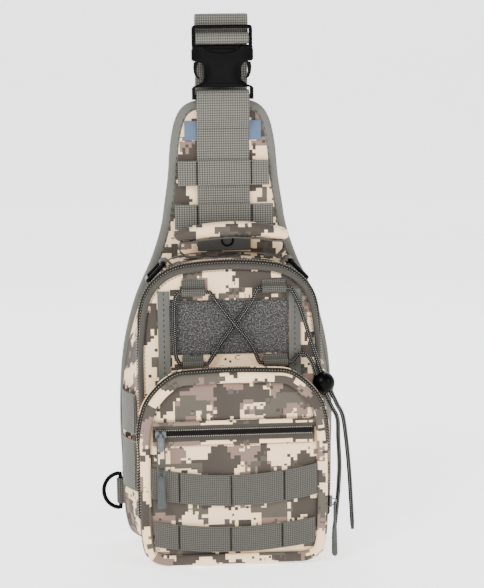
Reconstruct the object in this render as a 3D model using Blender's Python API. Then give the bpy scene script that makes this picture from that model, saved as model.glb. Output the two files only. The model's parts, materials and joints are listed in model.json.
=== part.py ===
"""Sling bag: a single-strap bag built piece by piece, in metres, +Z up, front towards -Y."""

import math

import bmesh
import bpy
from mathutils import Vector

# ---------------------------------------------------------------- driving sizes
CLEAR = 0.0003            # gap kept between pieces that touch

NECK_WIDTH = 0.1040       # shoulder pad across its narrow part
HIP_MARGIN = 0.0175       # how much wider the back panel is than the front, each side
BODY_HEIGHT = 0.2715      # top of the main compartment's mouth
SHOULDER_HEIGHT = 0.1500  # shoulder pad above the mouth
FRONT_WIDTH = 0.1680      # main front panel
GUSSET_RISE = 0.0045      # how much higher the gusset is at the back panel
GUSSET_FLARE = 0.0145     # how much wider the gusset is at the back panel, each side
CORD_AREA = 0.0920        # front panel left open above the pocket
POCKET_MARGIN = 0.0018    # how much wider the pocket is than the front, each side
POCKET_DRAFT = 0.0045     # how much smaller the pocket is where it meets the front panel

BACK_THICK = 0.0140       # back panel with its binding
BACK_REAR_Y = 0.0505      # wearer's side of the back panel
MAIN_DEPTH = 0.0467       # main gusset, back to front
POCKET_DEPTH = 0.0282     # pocket gusset, back to front
TAPE = 0.0018             # zip tape with its coil
CLOTH = 0.0030            # padded front cloths
PIPING = 0.0050           # main piping, across and proud
POCKET_ROLL = 0.0100      # rolled edge of the pocket
BINDING = 0.0080
WALL = 0.0020             # gusset wall
WEB = 0.0015              # webbing thickness
STRAP_WIDTH = 0.0492
ROW_WEB = 0.0234          # cross webbing height on the shoulder pad

CORD = 0.0040
CORD_FIT = 0.0004         # radial play round the cord in its loops and lock
LOOP_WALL = 0.0012
BALL = 0.0206
HINGE_Z = 0.0450          # zips stop here, the sewn hinge runs below
WIRE = 0.0040             # wire of the plastic rings

# ---------------------------------------------------------------- places that follow from them
HIP_WIDTH = FRONT_WIDTH + 2 * HIP_MARGIN
POCKET_WIDTH = FRONT_WIDTH + 2 * POCKET_MARGIN
BACK_HEIGHT = BODY_HEIGHT + SHOULDER_HEIGHT
POCKET_HEIGHT = BODY_HEIGHT - CORD_AREA
BINDING_FRONT = BACK_REAR_Y - BACK_THICK
FACE_FRONT = BINDING_FRONT + 0.0005
GUSSET_BACK = BINDING_FRONT - CLEAR
GUSSET_FRONT = GUSSET_BACK - MAIN_DEPTH
REAR_TAPE = GUSSET_FRONT - CLEAR
FRONT_TAPE = REAR_TAPE - TAPE - CLEAR
PANEL_BACK = FRONT_TAPE - TAPE - CLEAR
PANEL_FRONT = PANEL_BACK - CLOTH
PIPING_FRONT = PANEL_BACK - PIPING
ON_PANEL = PANEL_FRONT - CLEAR
POCKET_BACK = PIPING_FRONT - CLEAR
POCKET_FRONT = POCKET_BACK - POCKET_DEPTH
POCKET_REAR_TAPE = POCKET_FRONT - CLEAR
POCKET_FRONT_TAPE = POCKET_REAR_TAPE - TAPE - CLEAR
FLAP_BACK = POCKET_FRONT_TAPE - TAPE - CLEAR
FLAP_FRONT = FLAP_BACK - CLOTH
ROLL_FRONT = FLAP_FRONT - 0.0025
ON_FLAP = FLAP_FRONT - CLEAR
PAD_FRONT = FACE_FRONT - CLEAR

STEPS = 4                 # samples for each stretch of an outline


# ---------------------------------------------------------------- materials
def material(name, colour, roughness, metallic=0.0):
    """A Principled material, made once per name."""
    made = bpy.data.materials.get(name)
    if made:
        return made
    made = bpy.data.materials.new(name)
    made.use_nodes = True
    shader = made.node_tree.nodes["Principled BSDF"]
    shader.inputs["Base Color"].default_value = (*colour, 1.0)
    shader.inputs["Roughness"].default_value = roughness
    shader.inputs["Metallic"].default_value = metallic
    made.diffuse_color = (*colour, 1.0)
    return made


CAMO = ("camo_cloth", (0.52, 0.46, 0.40), 0.85)
WEBBING = ("grey_webbing", (0.32, 0.32, 0.29), 0.80)
BINDING_TAPE = ("binding_tape", (0.20, 0.20, 0.18), 0.80)
MESH = ("spacer_mesh", (0.06, 0.06, 0.06), 0.90)
FOAM = ("foam", (0.70, 0.70, 0.68), 0.95)
LOOP_PILE = ("loop_pile", (0.09, 0.09, 0.09), 0.95)
ZIP_TAPE = ("zip_tape", (0.05, 0.05, 0.05), 0.75)
PLASTIC = ("black_plastic", (0.012, 0.012, 0.012), 0.40)
CORD_BRAID = ("cord_braid", (0.03, 0.03, 0.03), 0.75)
RUBBER = ("grey_rubber", (0.16, 0.17, 0.16), 0.60)
DARK_RUBBER = ("dark_rubber", (0.05, 0.05, 0.05), 0.60)
METAL = ("slider_metal", (0.25, 0.25, 0.25), 0.45, 0.9)
BLUE_TAPE = ("blue_grey_tape", (0.155, 0.235, 0.39), 0.70)


# ---------------------------------------------------------------- meshes
def finish(name, bm, look, pivot=(0.0, 0.0, 0.0)):
    """Turns a bmesh in world metres into one object whose origin is on its pivot."""
    bmesh.ops.recalc_face_normals(bm, faces=bm.faces)
    bmesh.ops.translate(bm, verts=bm.verts, vec=-Vector(pivot))
    mesh = bpy.data.meshes.new(name)
    bm.to_mesh(mesh)
    bm.free()
    made = bpy.data.objects.new(name, mesh)
    made.location = pivot
    bpy.context.scene.collection.objects.link(made)
    mesh.materials.append(material(*look))
    mesh.shade_smooth()
    mesh.set_sharp_from_angle(angle=math.radians(35))
    return made


def place(axis, a, b, c):
    """A point from two section coordinates and a distance along the extrusion axis."""
    if axis == "X":
        return (c, a, b)
    if axis == "Y":
        return (a, c, b)
    return (a, b, c)


def add_prism(bm, outline, axis, low, high, hole=None):
    """Adds a prism of a section; a hole has as many points as the outline."""
    loops = []
    for section in [outline] + ([hole] if hole else []):
        for level in (low, high):
            loops.append([bm.verts.new(place(axis, a, b, level)) for a, b in section])
    count = len(outline)
    for i in range(count):
        j = (i + 1) % count
        bm.faces.new((loops[0][i], loops[0][j], loops[1][j], loops[1][i]))
        if hole:
            bm.faces.new((loops[2][i], loops[3][i], loops[3][j], loops[2][j]))
            bm.faces.new((loops[0][i], loops[2][i], loops[2][j], loops[0][j]))
            bm.faces.new((loops[1][i], loops[1][j], loops[3][j], loops[3][i]))
    if not hole:
        bm.faces.new(loops[0])
        bm.faces.new(list(reversed(loops[1])))


def prism(name, outline, axis, low, high, look, hole=None, pivot=(0.0, 0.0, 0.0)):
    bm = bmesh.new()
    add_prism(bm, outline, axis, low, high, hole)
    return finish(name, bm, look, pivot)


def rect(a0, b0, a1, b1):
    return [(a0, b0), (a1, b0), (a1, b1), (a0, b1)]


def box(name, low, high, look, pivot=(0.0, 0.0, 0.0)):
    section = rect(low[0], low[1], high[0], high[1])
    return prism(name, section, "Z", low[2], high[2], look, pivot=pivot)


def circle(centre, radius, count=16, start=0.0):
    turn = 2 * math.pi / count
    return [
        (centre[0] + radius * math.cos(start + i * turn), centre[1] + radius * math.sin(start + i * turn))
        for i in range(count)
    ]


def round_rect(a0, b0, a1, b1, radius):
    """A rectangle with round corners, 16 points, starting at the +a side."""
    points = []
    for ca, cb, first in (
        (a1 - radius, b1 - radius, 0),
        (a0 + radius, b1 - radius, 90),
        (a0 + radius, b0 + radius, 180),
        (a1 - radius, b0 + radius, 270),
    ):
        for step in range(4):
            angle = math.radians(first + 30 * step)
            points.append((ca + radius * math.cos(angle), cb + radius * math.sin(angle)))
    return points


def loft(name, loops, look, closed=True, pivot=(0.0, 0.0, 0.0)):
    """Skins equal loops of 3-D points; closed joins the last loop to the first, else ends are capped."""
    bm = bmesh.new()
    rings = [[bm.verts.new(p) for p in loop] for loop in loops]
    spans = len(rings) if closed else len(rings) - 1
    count = len(rings[0])
    for k in range(spans):
        first, second = rings[k], rings[(k + 1) % len(rings)]
        for i in range(count):
            j = (i + 1) % count
            bm.faces.new((first[i], first[j], second[j], second[i]))
    if not closed:
        bm.faces.new(rings[0])
        bm.faces.new(list(reversed(rings[-1])))
    return finish(name, bm, look, pivot)


def ribbon(name, path, width, thick, look, pivot=(0.0, 0.0, 0.0)):
    """A flat strap of one width swept along a path; its width stays level with the XZ plane."""
    points = [Vector(p) for p in path]
    loops = []
    for i, point in enumerate(points):
        along = (points[min(i + 1, len(points) - 1)] - points[max(i - 1, 0)]).normalized()
        side = along.cross(Vector((0, 1, 0)))
        side = Vector((1, 0, 0)) if side.length < 0.2 else side.normalized()
        if side.x < 0:
            side = -side
        out = side.cross(along).normalized()
        s, o = side * width / 2, out * thick / 2
        loops.append([point - s - o, point + s - o, point + s + o, point - s + o])
    return loft(name, loops, look, closed=False, pivot=pivot)


def tube(name, points, radius, look, cyclic=False, resolution=2, pivot=(0.0, 0.0, 0.0)):
    """A round wire or cord on a POLY spline, with filled caps."""
    data = bpy.data.curves.new(name, "CURVE")
    data.dimensions = "3D"
    data.bevel_depth = radius
    data.bevel_resolution = resolution
    data.use_fill_caps = True
    line = data.splines.new("POLY")
    line.points.add(len(points) - 1)
    for target, source in zip(line.points, points):
        target.co = (*(Vector(source) - Vector(pivot)), 1.0)
    line.use_cyclic_u = cyclic
    made = bpy.data.objects.new(name, data)
    made.location = pivot
    bpy.context.scene.collection.objects.link(made)
    data.materials.append(material(*look))
    return made


def smooth_path(points, spacing):
    """Points about a spacing apart on a smooth curve that goes through all of the given points."""
    knots = [Vector(p) for p in points]
    knots = [2 * knots[0] - knots[1]] + knots + [2 * knots[-1] - knots[-2]]
    path = []
    for k in range(1, len(knots) - 2):
        steps = max(1, round((knots[k + 1] - knots[k]).length / spacing))
        path += [catmull(knots[k - 1: k + 3], step / steps) for step in range(steps)]
    return path + [knots[-2]]


def catmull(four, t):
    a, b, c, d = four
    return 0.5 * (2 * b + (c - a) * t + (2 * a - 5 * b + 4 * c - d) * t * t + (3 * b - a - 3 * c + d) * t ** 3)


def cutter(name, outline, axis, low, high):
    made = prism(name, outline, axis, low, high, CAMO)
    made.hide_render = True
    made.display_type = "WIRE"
    return made


def cut(target, tool):
    change = target.modifiers.new("cut", "BOOLEAN")
    change.operation = "DIFFERENCE"
    change.solver = "EXACT"
    change.object = tool


def join(target, tool):
    change = target.modifiers.new("join", "BOOLEAN")
    change.operation = "UNION"
    change.solver = "EXACT"
    change.object = tool
    tool.hide_render = True
    tool.display_type = "WIRE"


# ---------------------------------------------------------------- outlines in the XZ plane
def mirrored(half):
    """A closed outline from the right half's knots, top centre first, flat on the floor."""
    knots = [Vector((-half[1][0], half[1][1]))] + [Vector(p) for p in half]
    knots.append(Vector((-half[-2][0], half[-2][1])))
    right = []
    for k in range(1, len(knots) - 2):
        for step in range(STEPS):
            point = catmull(knots[k - 1: k + 3], step / STEPS)
            right.append((point.x, max(point.y, 0.0)))
    right.append(half[-1])
    left = [(-x, z) for x, z in reversed(right[1:-1])]
    return right + left


def back_outline():
    neck, hip, top, body = NECK_WIDTH / 2, HIP_WIDTH / 2, BACK_HEIGHT, BODY_HEIGHT
    grow, rise = hip - neck, top - body
    return mirrored([
        (0.0, top), (0.42 * neck, top - 0.0020), (0.70 * neck, top - 0.0080), (0.86 * neck, top - 0.0215),
        (0.95 * neck, top - 0.0440), (neck, body + 0.510 * rise), (neck + 0.07 * grow, body + 0.350 * rise),
        (neck + 0.15 * grow, body + 0.193 * rise), (neck + 0.34 * grow, body), (neck + 0.69 * grow, body - 0.0400),
        (neck + 0.92 * grow, body - 0.0870), (hip, body - 0.1400), (hip - 0.0010, 0.0800),
        (hip - 0.0065, 0.0240), (hip - 0.0200, 0.0055), (hip - 0.0400, 0.0), (hip - 0.0650, 0.0), (0.0, 0.0),
    ])


def mouth_outline(width, height):
    """The main compartment's outline: a low arch on straight sides with round lower corners."""
    half = width / 2
    return mirrored([
        (0.0, height), (half - 0.0520, height - 0.0018), (half - 0.0340, height - 0.0055),
        (half - 0.0210, height - 0.0130), (half - 0.0105, height - 0.0250), (half - 0.0045, height - 0.0420),
        (half - 0.0005, height - 0.0750), (half, height - 0.1150), (half, 0.0500),
        (half - 0.0035, 0.0160), (half - 0.0120, 0.0045), (half - 0.0270, 0.0), (half - 0.0480, 0.0), (0.0, 0.0),
    ])


def rear_gusset_outline():
    """Where the gusset meets the back panel: wider at the hips, inside the back panel at the shoulders."""
    half, height = FRONT_WIDTH / 2 + GUSSET_FLARE, BODY_HEIGHT + GUSSET_RISE
    return mirrored([
        (0.0, height), (half - 0.0660, height - 0.0012), (half - 0.0470, height - 0.0058),
        (half - 0.0340, height - 0.0160), (half - 0.0235, height - 0.0340), (half - 0.0120, height - 0.0640),
        (half - 0.0040, height - 0.0980), (half, height - 0.1400), (half, 0.0500),
        (half - 0.0035, 0.0160), (half - 0.0120, 0.0045), (half - 0.0270, 0.0), (half - 0.0480, 0.0), (0.0, 0.0),
    ])


def pocket_outline():
    half, height = POCKET_WIDTH / 2, POCKET_HEIGHT
    return mirrored([
        (0.0, height), (half - 0.0520, height - 0.0010), (half - 0.0350, height - 0.0030),
        (half - 0.0200, height - 0.0130), (half - 0.0085, height - 0.0270), (half - 0.0030, height - 0.0420),
        (half - 0.0003, height - 0.0600), (half, height - 0.0800), (half, 0.0450),
        (half - 0.0030, 0.0145), (half - 0.0105, 0.0045), (half - 0.0240, 0.0), (half - 0.0450, 0.0), (0.0, 0.0),
    ])


def inset(outline, amount):
    """The outline moved inwards along its own normals."""
    count = len(outline)
    moved = []
    for i, (x, z) in enumerate(outline):
        ax, az = outline[i - 1]
        bx, bz = outline[(i + 1) % count]
        length = math.hypot(bx - ax, bz - az)
        nx, nz = (bz - az) / length, -(bx - ax) / length
        moved.append((x + nx * amount, z + nz * amount))
    return moved


def edge_at(outline, z):
    """How far out an outline's right side is at one height."""
    widest = 0.0
    for i, (bx, bz) in enumerate(outline):
        ax, az = outline[i - 1]
        if min(az, bz) <= z <= max(az, bz) and az != bz:
            widest = max(widest, ax + (bx - ax) * (z - az) / (bz - az))
    return widest


def edges(outline, low, high):
    return [edge_at(outline, low + (high - low) * step / 24) for step in range(25)]


def half_width(outline, low, high):
    """Widest x of an outline between two heights."""
    return max(edges(outline, low, high))


def narrowest(outline, low, high):
    """Smallest half width of an outline between two heights."""
    return min(edges(outline, low, high))


def top_at(outline, x):
    """Height of an outline's upper side at x."""
    highest = 0.0
    count = len(outline)
    for i in range(count):
        (ax, az), (bx, bz) = outline[i], outline[(i + 1) % count]
        if min(ax, bx) <= x <= max(ax, bx) and ax != bx:
            highest = max(highest, az + (bz - az) * (x - ax) / (bx - ax))
    return highest


BACK = back_outline()
MOUTH = mouth_outline(FRONT_WIDTH, BODY_HEIGHT)
GUSSET_REAR = rear_gusset_outline()
POCKET = pocket_outline()


def gusset_top(x, y):
    """Height of the main gusset's outer face at x and y."""
    share = (y - GUSSET_FRONT) / MAIN_DEPTH
    return top_at(MOUTH, x) + share * (top_at(GUSSET_REAR, x) - top_at(MOUTH, x))


def ring(name, outline, width, y0, y1, look, pivot=(0.0, 0.0, 0.0)):
    """A flat closed band along an outline."""
    return prism(name, outline, "Y", y0, y1, look, hole=inset(outline, width), pivot=pivot)


def arch_band(name, outline, start, width, low, y0, y1, look, upper=True, pivot=(0.0, 0.0, 0.0)):
    """The part of a band above the height low, or below it where upper is false."""
    outer, inner = inset(outline, start), inset(outline, start + width)
    count = len(outline)
    keep = [(z >= low) == upper for _, z in outline]
    first = next(i for i in range(count) if keep[i] and not keep[i - 1])
    order = []
    while keep[(first + len(order)) % count] and len(order) < count:
        order.append((first + len(order)) % count)
    section = [outer[i] for i in order] + [inner[i] for i in reversed(order)]
    bm = bmesh.new()
    size = len(order)
    front = [bm.verts.new((x, y0, z)) for x, z in section]
    back = [bm.verts.new((x, y1, z)) for x, z in section]
    for i in range(2 * size):
        j = (i + 1) % (2 * size)
        bm.faces.new((front[i], front[j], back[j], back[i]))
    for i in range(size - 1):
        j = 2 * size - 1 - i
        bm.faces.new((front[i], front[i + 1], front[j - 1], front[j]))
        bm.faces.new((back[i], back[j], back[j - 1], back[i + 1]))
    return finish(name, bm, look, pivot)


def wall_ring(name, rear, front, y_rear, y_front, look, pivot=(0.0, 0.0, 0.0)):
    """A gusset: a wall that runs round from a rear outline to a front outline."""
    def loop(outline, y):
        return [(x, y, z) for x, z in outline]

    loops = [
        loop(rear, y_rear), loop(front, y_front),
        loop(inset(front, WALL), y_front), loop(inset(rear, WALL), y_rear),
    ]
    return loft(name, loops, look, pivot=pivot)


# ---------------------------------------------------------------- back panel and shoulder
STRIP_Z = (BODY_HEIGHT + 0.733 * SHOULDER_HEIGHT, BODY_HEIGHT + 0.855 * SHOULDER_HEIGHT)
ROW_2_Z = BODY_HEIGHT + 0.0270
ROW_1_Z = ROW_2_Z + 0.2727 * SHOULDER_HEIGHT
ROW_1_WIDTH = 0.0856
ROW_2_WIDTH = 0.0926
PATCH_WIDTH = STRAP_WIDTH + 0.0008
PATCH_Z = (BODY_HEIGHT + 0.0063, ROW_2_Z - 0.0010)
PORT_X = 0.0030
PORT_RADIUS = 0.0062


def build_back():
    inner = inset(BACK, BINDING + CLEAR)
    core = (FACE_FRONT + 0.0030 + CLEAR, BACK_REAR_Y - 0.0005 - 0.0030 - CLEAR)
    prism("back_face", inner, "Y", FACE_FRONT, FACE_FRONT + 0.0030, CAMO)
    prism("back_core", inner, "Y", core[0], core[1], FOAM)
    prism("back_mesh", inner, "Y", core[1] + CLEAR, BACK_REAR_Y - 0.0005, MESH)
    ring("back_binding", BACK, BINDING, BINDING_FRONT, BACK_REAR_Y, BINDING_TAPE)


def build_shoulder():
    strip_front = PAD_FRONT - 0.0012
    web_front = strip_front - CLEAR - WEB
    row_front = web_front - CLEAR - WEB
    reach = half_width(inset(BACK, BINDING), STRIP_Z[1], STRIP_Z[1] + 0.002) - CLEAR
    box("shoulder_cross_strip", (-reach, strip_front, STRIP_Z[0]), (reach, PAD_FRONT, STRIP_Z[1]), BLUE_TAPE)
    for number, low, width in ((1, ROW_1_Z, ROW_1_WIDTH), (2, ROW_2_Z, ROW_2_WIDTH)):
        box(
            f"shoulder_row_{number}", (-width / 2, row_front, low),
            (width / 2, row_front + WEB, low + ROW_WEB), WEBBING,
        )
    patch = box(
        "cable_port_patch", (-PATCH_WIDTH / 2, web_front, PATCH_Z[0]),
        (PATCH_WIDTH / 2, PAD_FRONT, PATCH_Z[1]), DARK_RUBBER,
    )
    centre = (PORT_X, (PATCH_Z[0] + PATCH_Z[1]) / 2)
    cut(patch, cutter("port_cutter", circle(centre, PORT_RADIUS + CLEAR), "Y", web_front - 0.002, PAD_FRONT + 0.002))
    prism(
        "cable_port_ring", circle(centre, PORT_RADIUS), "Y", web_front - 0.0015, PAD_FRONT, PLASTIC,
        hole=circle(centre, PORT_RADIUS - 0.0018),
    )
    flat = web_front + WEB / 2
    bar = BUCKLE_Y
    path = [
        (bar + 0.0049, BAR_Z - 0.0140), (bar + 0.0049, BAR_Z - 0.0020), (bar + 0.0036, BAR_Z + 0.0045),
        (bar, BAR_Z + 0.0060), (bar - 0.0036, BAR_Z + 0.0045), (bar - 0.0048, BAR_Z - 0.0020),
        (bar - 0.0046, BAR_Z - 0.0100), (bar - 0.0010, BAR_Z - 0.0210), (flat - 0.0012, BAR_Z - 0.0290),
        (flat, BAR_Z - 0.0370), (flat, PATCH_Z[1] + CLEAR),
    ]
    ribbon("shoulder_webbing", [(0.0, y, z) for y, z in path], STRAP_WIDTH, WEB, WEBBING)


# ---------------------------------------------------------------- buckle and strap
BUCKLE_Y = 0.0295         # middle of the buckle's thickness
BUCKLE_THICK = 0.0094
SLOT_WIDTH = STRAP_WIDTH + 0.0020
BUCKLE_WIDTH = SLOT_WIDTH + 0.0058
BAR_Z = BACK_HEIGHT + 0.0003       # middle of the female half's bar
SEAM_Z = BAR_Z + 0.0437            # where the two halves meet
SLEEVE = 0.0110           # height of the female half's sleeve
FRAME_TOP = SEAM_Z + 0.0220
WAIST_WIDTH = BUCKLE_WIDTH - 0.0226
TONGUE_WIDTH = WAIST_WIDTH - 0.0084
TONGUE_THICK = 0.0044
TONGUE_LENGTH = 0.0215
PRONG_THICK = 0.0060
PRONG_ARM = 0.0030
PRONG_INNER = BUCKLE_WIDTH / 2 - 0.0043 - PRONG_ARM
FOLD_Z = FRAME_TOP + 0.0110        # top of the strap's fold
STRAP_SPLIT_Z = BAR_Z + 0.0182     # where the strap changes from the buckle to the back


def prong_outline(sign):
    inner, outer, top = PRONG_INNER, PRONG_INNER + PRONG_ARM, SEAM_Z
    catch = top - SLEEVE
    points = [
        (inner, top), (outer, top), (outer, catch - 0.0005), (outer + 0.0022, catch - 0.0007),
        (outer + 0.0028, catch - 0.0055), (outer + 0.0022, catch - 0.0105), (outer + 0.0004, catch - 0.0145),
        (outer - 0.0020, catch - 0.0163), (inner + 0.0001, catch - 0.0157), (inner + 0.0020, catch - 0.0125),
        (inner + 0.0026, catch - 0.0085), (inner + 0.0022, catch - 0.0045), (inner + 0.0004, catch + 0.0015),
    ]
    return [(sign * x, z) for x, z in points]


def build_buckle_female():
    half, waist, bar_low = BUCKLE_WIDTH / 2, WAIST_WIDTH / 2, BAR_Z - 0.0024
    catch = SEAM_Z - SLEEVE
    right = [
        (half, SEAM_Z), (half, catch + 0.0015), (half - 0.0020, catch), (waist + 0.0010, catch),
        (waist, catch - 0.0045), (waist, catch - 0.0175), (waist + 0.0050, catch - 0.0210),
        (half - 0.0018, catch - 0.0226), (half, catch - 0.0245), (half, bar_low),
    ]
    outline = right + [(-x, z) for x, z in reversed(right)]
    y0, y1 = BUCKLE_Y - BUCKLE_THICK / 2, BUCKLE_Y + BUCKLE_THICK / 2
    body = prism("buckle_female", outline, "Y", y0, y1, PLASTIC)
    slot_top = BAR_Z + 0.0088
    slot = rect(-SLOT_WIDTH / 2, BAR_Z + 0.0024, SLOT_WIDTH / 2, slot_top)
    cut(body, cutter("slot_cutter", slot, "Y", y0 - 0.002, y1 + 0.002))
    for number, low, high in ((1, y0 - 0.002, BUCKLE_Y - 0.0025), (2, BUCKLE_Y + 0.0025, y1 + 0.002)):
        thin = rect(-SLOT_WIDTH / 2, bar_low - 0.002, SLOT_WIDTH / 2, BAR_Z + 0.0050)
        cut(body, cutter(f"bar_cutter_{number}", thin, "Y", low, high))
    room_x, room_y = TONGUE_WIDTH / 2 + 0.0006, TONGUE_THICK / 2 + 0.0005
    room = rect(-room_x, BUCKLE_Y - room_y, room_x, BUCKLE_Y + room_y)
    cut(body, cutter("tongue_room", room, "Z", SEAM_Z - TONGUE_LENGTH - 0.001, SEAM_Z + 0.002))
    for number, sign in ((1, -1), (2, 1)):
        inner, outer = sign * (PRONG_INNER - 0.0024), sign * (PRONG_INNER + PRONG_ARM + 0.0006)
        gap = PRONG_THICK / 2 + 0.0005
        window = rect(min(inner, outer), BUCKLE_Y - gap, max(inner, outer), BUCKLE_Y + gap)
        cut(body, cutter(f"prong_room_{number}", window, "Z", catch - 0.001, SEAM_Z + 0.002))


def build_buckle_male():
    low, half = SEAM_Z + CLEAR, BUCKLE_WIDTH / 2 - 0.0006
    y0, y1 = BUCKLE_Y - 0.0035, BUCKLE_Y + 0.0035
    frame = round_rect(-half, low, half, FRAME_TOP, 0.0025)
    body = prism("buckle_male", frame, "Y", y0, y1, PLASTIC)
    slot = SLOT_WIDTH / 2
    for number, (z0, z1) in enumerate(((low + 0.0030, BAR_2_Z - 0.0025), (BAR_2_Z + 0.0025, FRAME_TOP - 0.0030))):
        cut(body, cutter(f"frame_window_{number}", rect(-slot, z0, slot, z1), "Y", y0 - 0.002, y1 + 0.002))
    tongue = rect(
        -TONGUE_WIDTH / 2, BUCKLE_Y - TONGUE_THICK / 2, TONGUE_WIDTH / 2, BUCKLE_Y + TONGUE_THICK / 2,
    )
    join(body, prism("tongue_tool", tongue, "Z", SEAM_Z - TONGUE_LENGTH, low + 0.001, PLASTIC))
    for side, sign in (("left", -1), ("right", 1)):
        pivot = (sign * (PRONG_INNER + PRONG_ARM / 2), BUCKLE_Y, SEAM_Z)
        prism(
            f"buckle_prong_{side}", prong_outline(sign), "Y", BUCKLE_Y - PRONG_THICK / 2,
            BUCKLE_Y + PRONG_THICK / 2, PLASTIC, pivot=pivot,
        )


BAR_2_Z = SEAM_Z + 0.0095  # middle of the male half's strap bar


def build_strap():
    behind = BACK_REAR_Y - 0.0045
    front = BUCKLE_Y
    upper = [
        (behind, STRAP_SPLIT_Z), (behind, 0.5 * (STRAP_SPLIT_Z + FOLD_Z)), (behind, FOLD_Z - 0.0120),
        (behind - 0.0018, FOLD_Z - 0.0045), (0.5 * (behind + front) + 0.0025, FOLD_Z - 0.0008),
        (front + 0.0062, FOLD_Z - 0.0030), (front + 0.0050, FRAME_TOP + 0.0015),
        (front + 0.0046, FRAME_TOP - 0.0030), (front + 0.0042, BAR_2_Z + 0.0075),
        (front + 0.0020, BAR_2_Z + 0.0050), (front - 0.0030, BAR_2_Z + 0.0044),
        (front - 0.0050, BAR_2_Z + 0.0024), (front - 0.0053, BAR_2_Z), (front - 0.0050, BAR_2_Z - 0.0024),
        (front - 0.0030, BAR_2_Z - 0.0043), (front + 0.0030, BAR_2_Z - 0.0041),
    ]
    ribbon("strap_upper", [(0.0, y, z) for y, z in upper], STRAP_WIDTH, WEB, WEBBING)
    rear = BACK_REAR_Y + CLEAR + WEB
    foot = (-HIP_WIDTH / 2 + 0.0430, 0.0480)
    lower = [(0.0, behind, STRAP_SPLIT_Z - CLEAR), (0.0, behind + 0.0020, STRAP_SPLIT_Z - 0.0070)]
    lower += [(0.0, rear, STRAP_SPLIT_Z - 0.0150)]
    start = (0.0, STRAP_SPLIT_Z - 0.0300)
    for share in (0.0, 0.10, 0.30, 0.60, 0.90, 1.0):
        x = start[0] + share * (foot[0] - start[0])
        lower.append((x, rear, start[1] + share * (foot[1] - start[1])))
    ribbon("strap_lower", lower, STRAP_WIDTH, WEB, WEBBING)


# ---------------------------------------------------------------- main compartment
def build_main():
    wall_ring("main_gusset", GUSSET_REAR, MOUTH, GUSSET_BACK, GUSSET_FRONT, CAMO)
    arch_band("main_zip_rear_tape", MOUTH, 0.0, 0.008, HINGE_Z, REAR_TAPE - TAPE, REAR_TAPE, ZIP_TAPE)
    arch_band("main_zip_front_tape", MOUTH, 0.0, 0.008, HINGE_Z, FRONT_TAPE - TAPE, FRONT_TAPE, ZIP_TAPE)
    seam_front = PANEL_BACK + CLEAR
    arch_band(
        "main_hinge_seam", MOUTH, 0.0006, 0.006, HINGE_Z - 0.006, seam_front, REAR_TAPE, CAMO, upper=False,
    )
    prism("main_front_panel", inset(MOUTH, PIPING + CLEAR), "Y", PANEL_FRONT, PANEL_BACK, CAMO)
    ring("main_piping", MOUTH, PIPING, PIPING_FRONT, PANEL_BACK, BINDING_TAPE)


LOOP_PANEL_HALF = FRONT_WIDTH / 2 - 0.0298
LOOP_PANEL_Z = (POCKET_HEIGHT + 0.0090, BODY_HEIGHT - 0.0330)
STRIP_LOW = POCKET_HEIGHT - 0.0145
SIDE_STRIP = 0.0110
CORD_LOOPS = {            # left end, right end, lowest point, highest point
    "top_left": (-0.0435, -0.0220, BODY_HEIGHT - 0.0285, BODY_HEIGHT - 0.0135),
    "top_right": (0.0300, 0.0520, BODY_HEIGHT - 0.0265, BODY_HEIGHT - 0.0145),
    "bottom_left": (-0.0438, -0.0245, POCKET_HEIGHT - 0.0025, POCKET_HEIGHT + 0.0085),
    "bottom_right": (0.0310, 0.0530, POCKET_HEIGHT - 0.0025, POCKET_HEIGHT + 0.0085),
}
LOOP_CORE_Y = ON_PANEL - 0.0020 - CORD / 2 - CORD_FIT


def build_front_trim():
    box(
        "loop_panel", (-LOOP_PANEL_HALF, ON_PANEL - WEB, LOOP_PANEL_Z[0]),
        (LOOP_PANEL_HALF, ON_PANEL, LOOP_PANEL_Z[1]), LOOP_PILE,
    )
    inner = LOOP_PANEL_HALF + CLEAR
    outer = inner + SIDE_STRIP
    top = top_at(inset(MOUTH, PIPING + CLEAR), outer) - 0.0010
    for side, a, b in (("left", -outer, -inner), ("right", inner, outer)):
        box(f"front_strip_{side}", (a, ON_PANEL - WEB, STRIP_LOW), (b, ON_PANEL, top), WEBBING)
    bore = CORD / 2 + CORD_FIT
    front = LOOP_CORE_Y - bore - LOOP_WALL
    for place_name, (x0, x1, low, high) in CORD_LOOPS.items():
        core = (LOOP_CORE_Y, low + LOOP_WALL + bore)
        prism(
            f"cord_loop_{place_name}", round_rect(front, low, ON_PANEL, high, 0.0022), "X", x0, x1, WEBBING,
            hole=circle(core, bore),
        )


# ---------------------------------------------------------------- bungee cord and its lock
BALL_CENTRE = Vector((0.0842, -0.0352, 0.1624))
TAIL_RUN = Vector((0.42, 0.0, -0.9075)).normalized()
TAIL_SIDE = Vector((0.9075, 0.0, 0.42)).normalized()
STRAND = CORD / 2 + CORD_FIT + 0.0003   # each strand's distance from the lock's middle
PLUNGER_RADIUS = 0.0062
PLUNGER_TRAVEL = 0.0022


def loop_core(place_name, end):
    """Middle of a cord loop's bore at one end: 0 left, 1 right."""
    x0, x1, low, _ = CORD_LOOPS[place_name]
    return Vector(((x0, x1)[end], LOOP_CORE_Y, low + LOOP_WALL + CORD / 2 + CORD_FIT))


def lock_point(distance, sign):
    """A point on one strand, measured along the tails from the lock's middle."""
    return BALL_CENTRE + TAIL_RUN * distance + TAIL_SIDE * STRAND * sign


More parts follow.
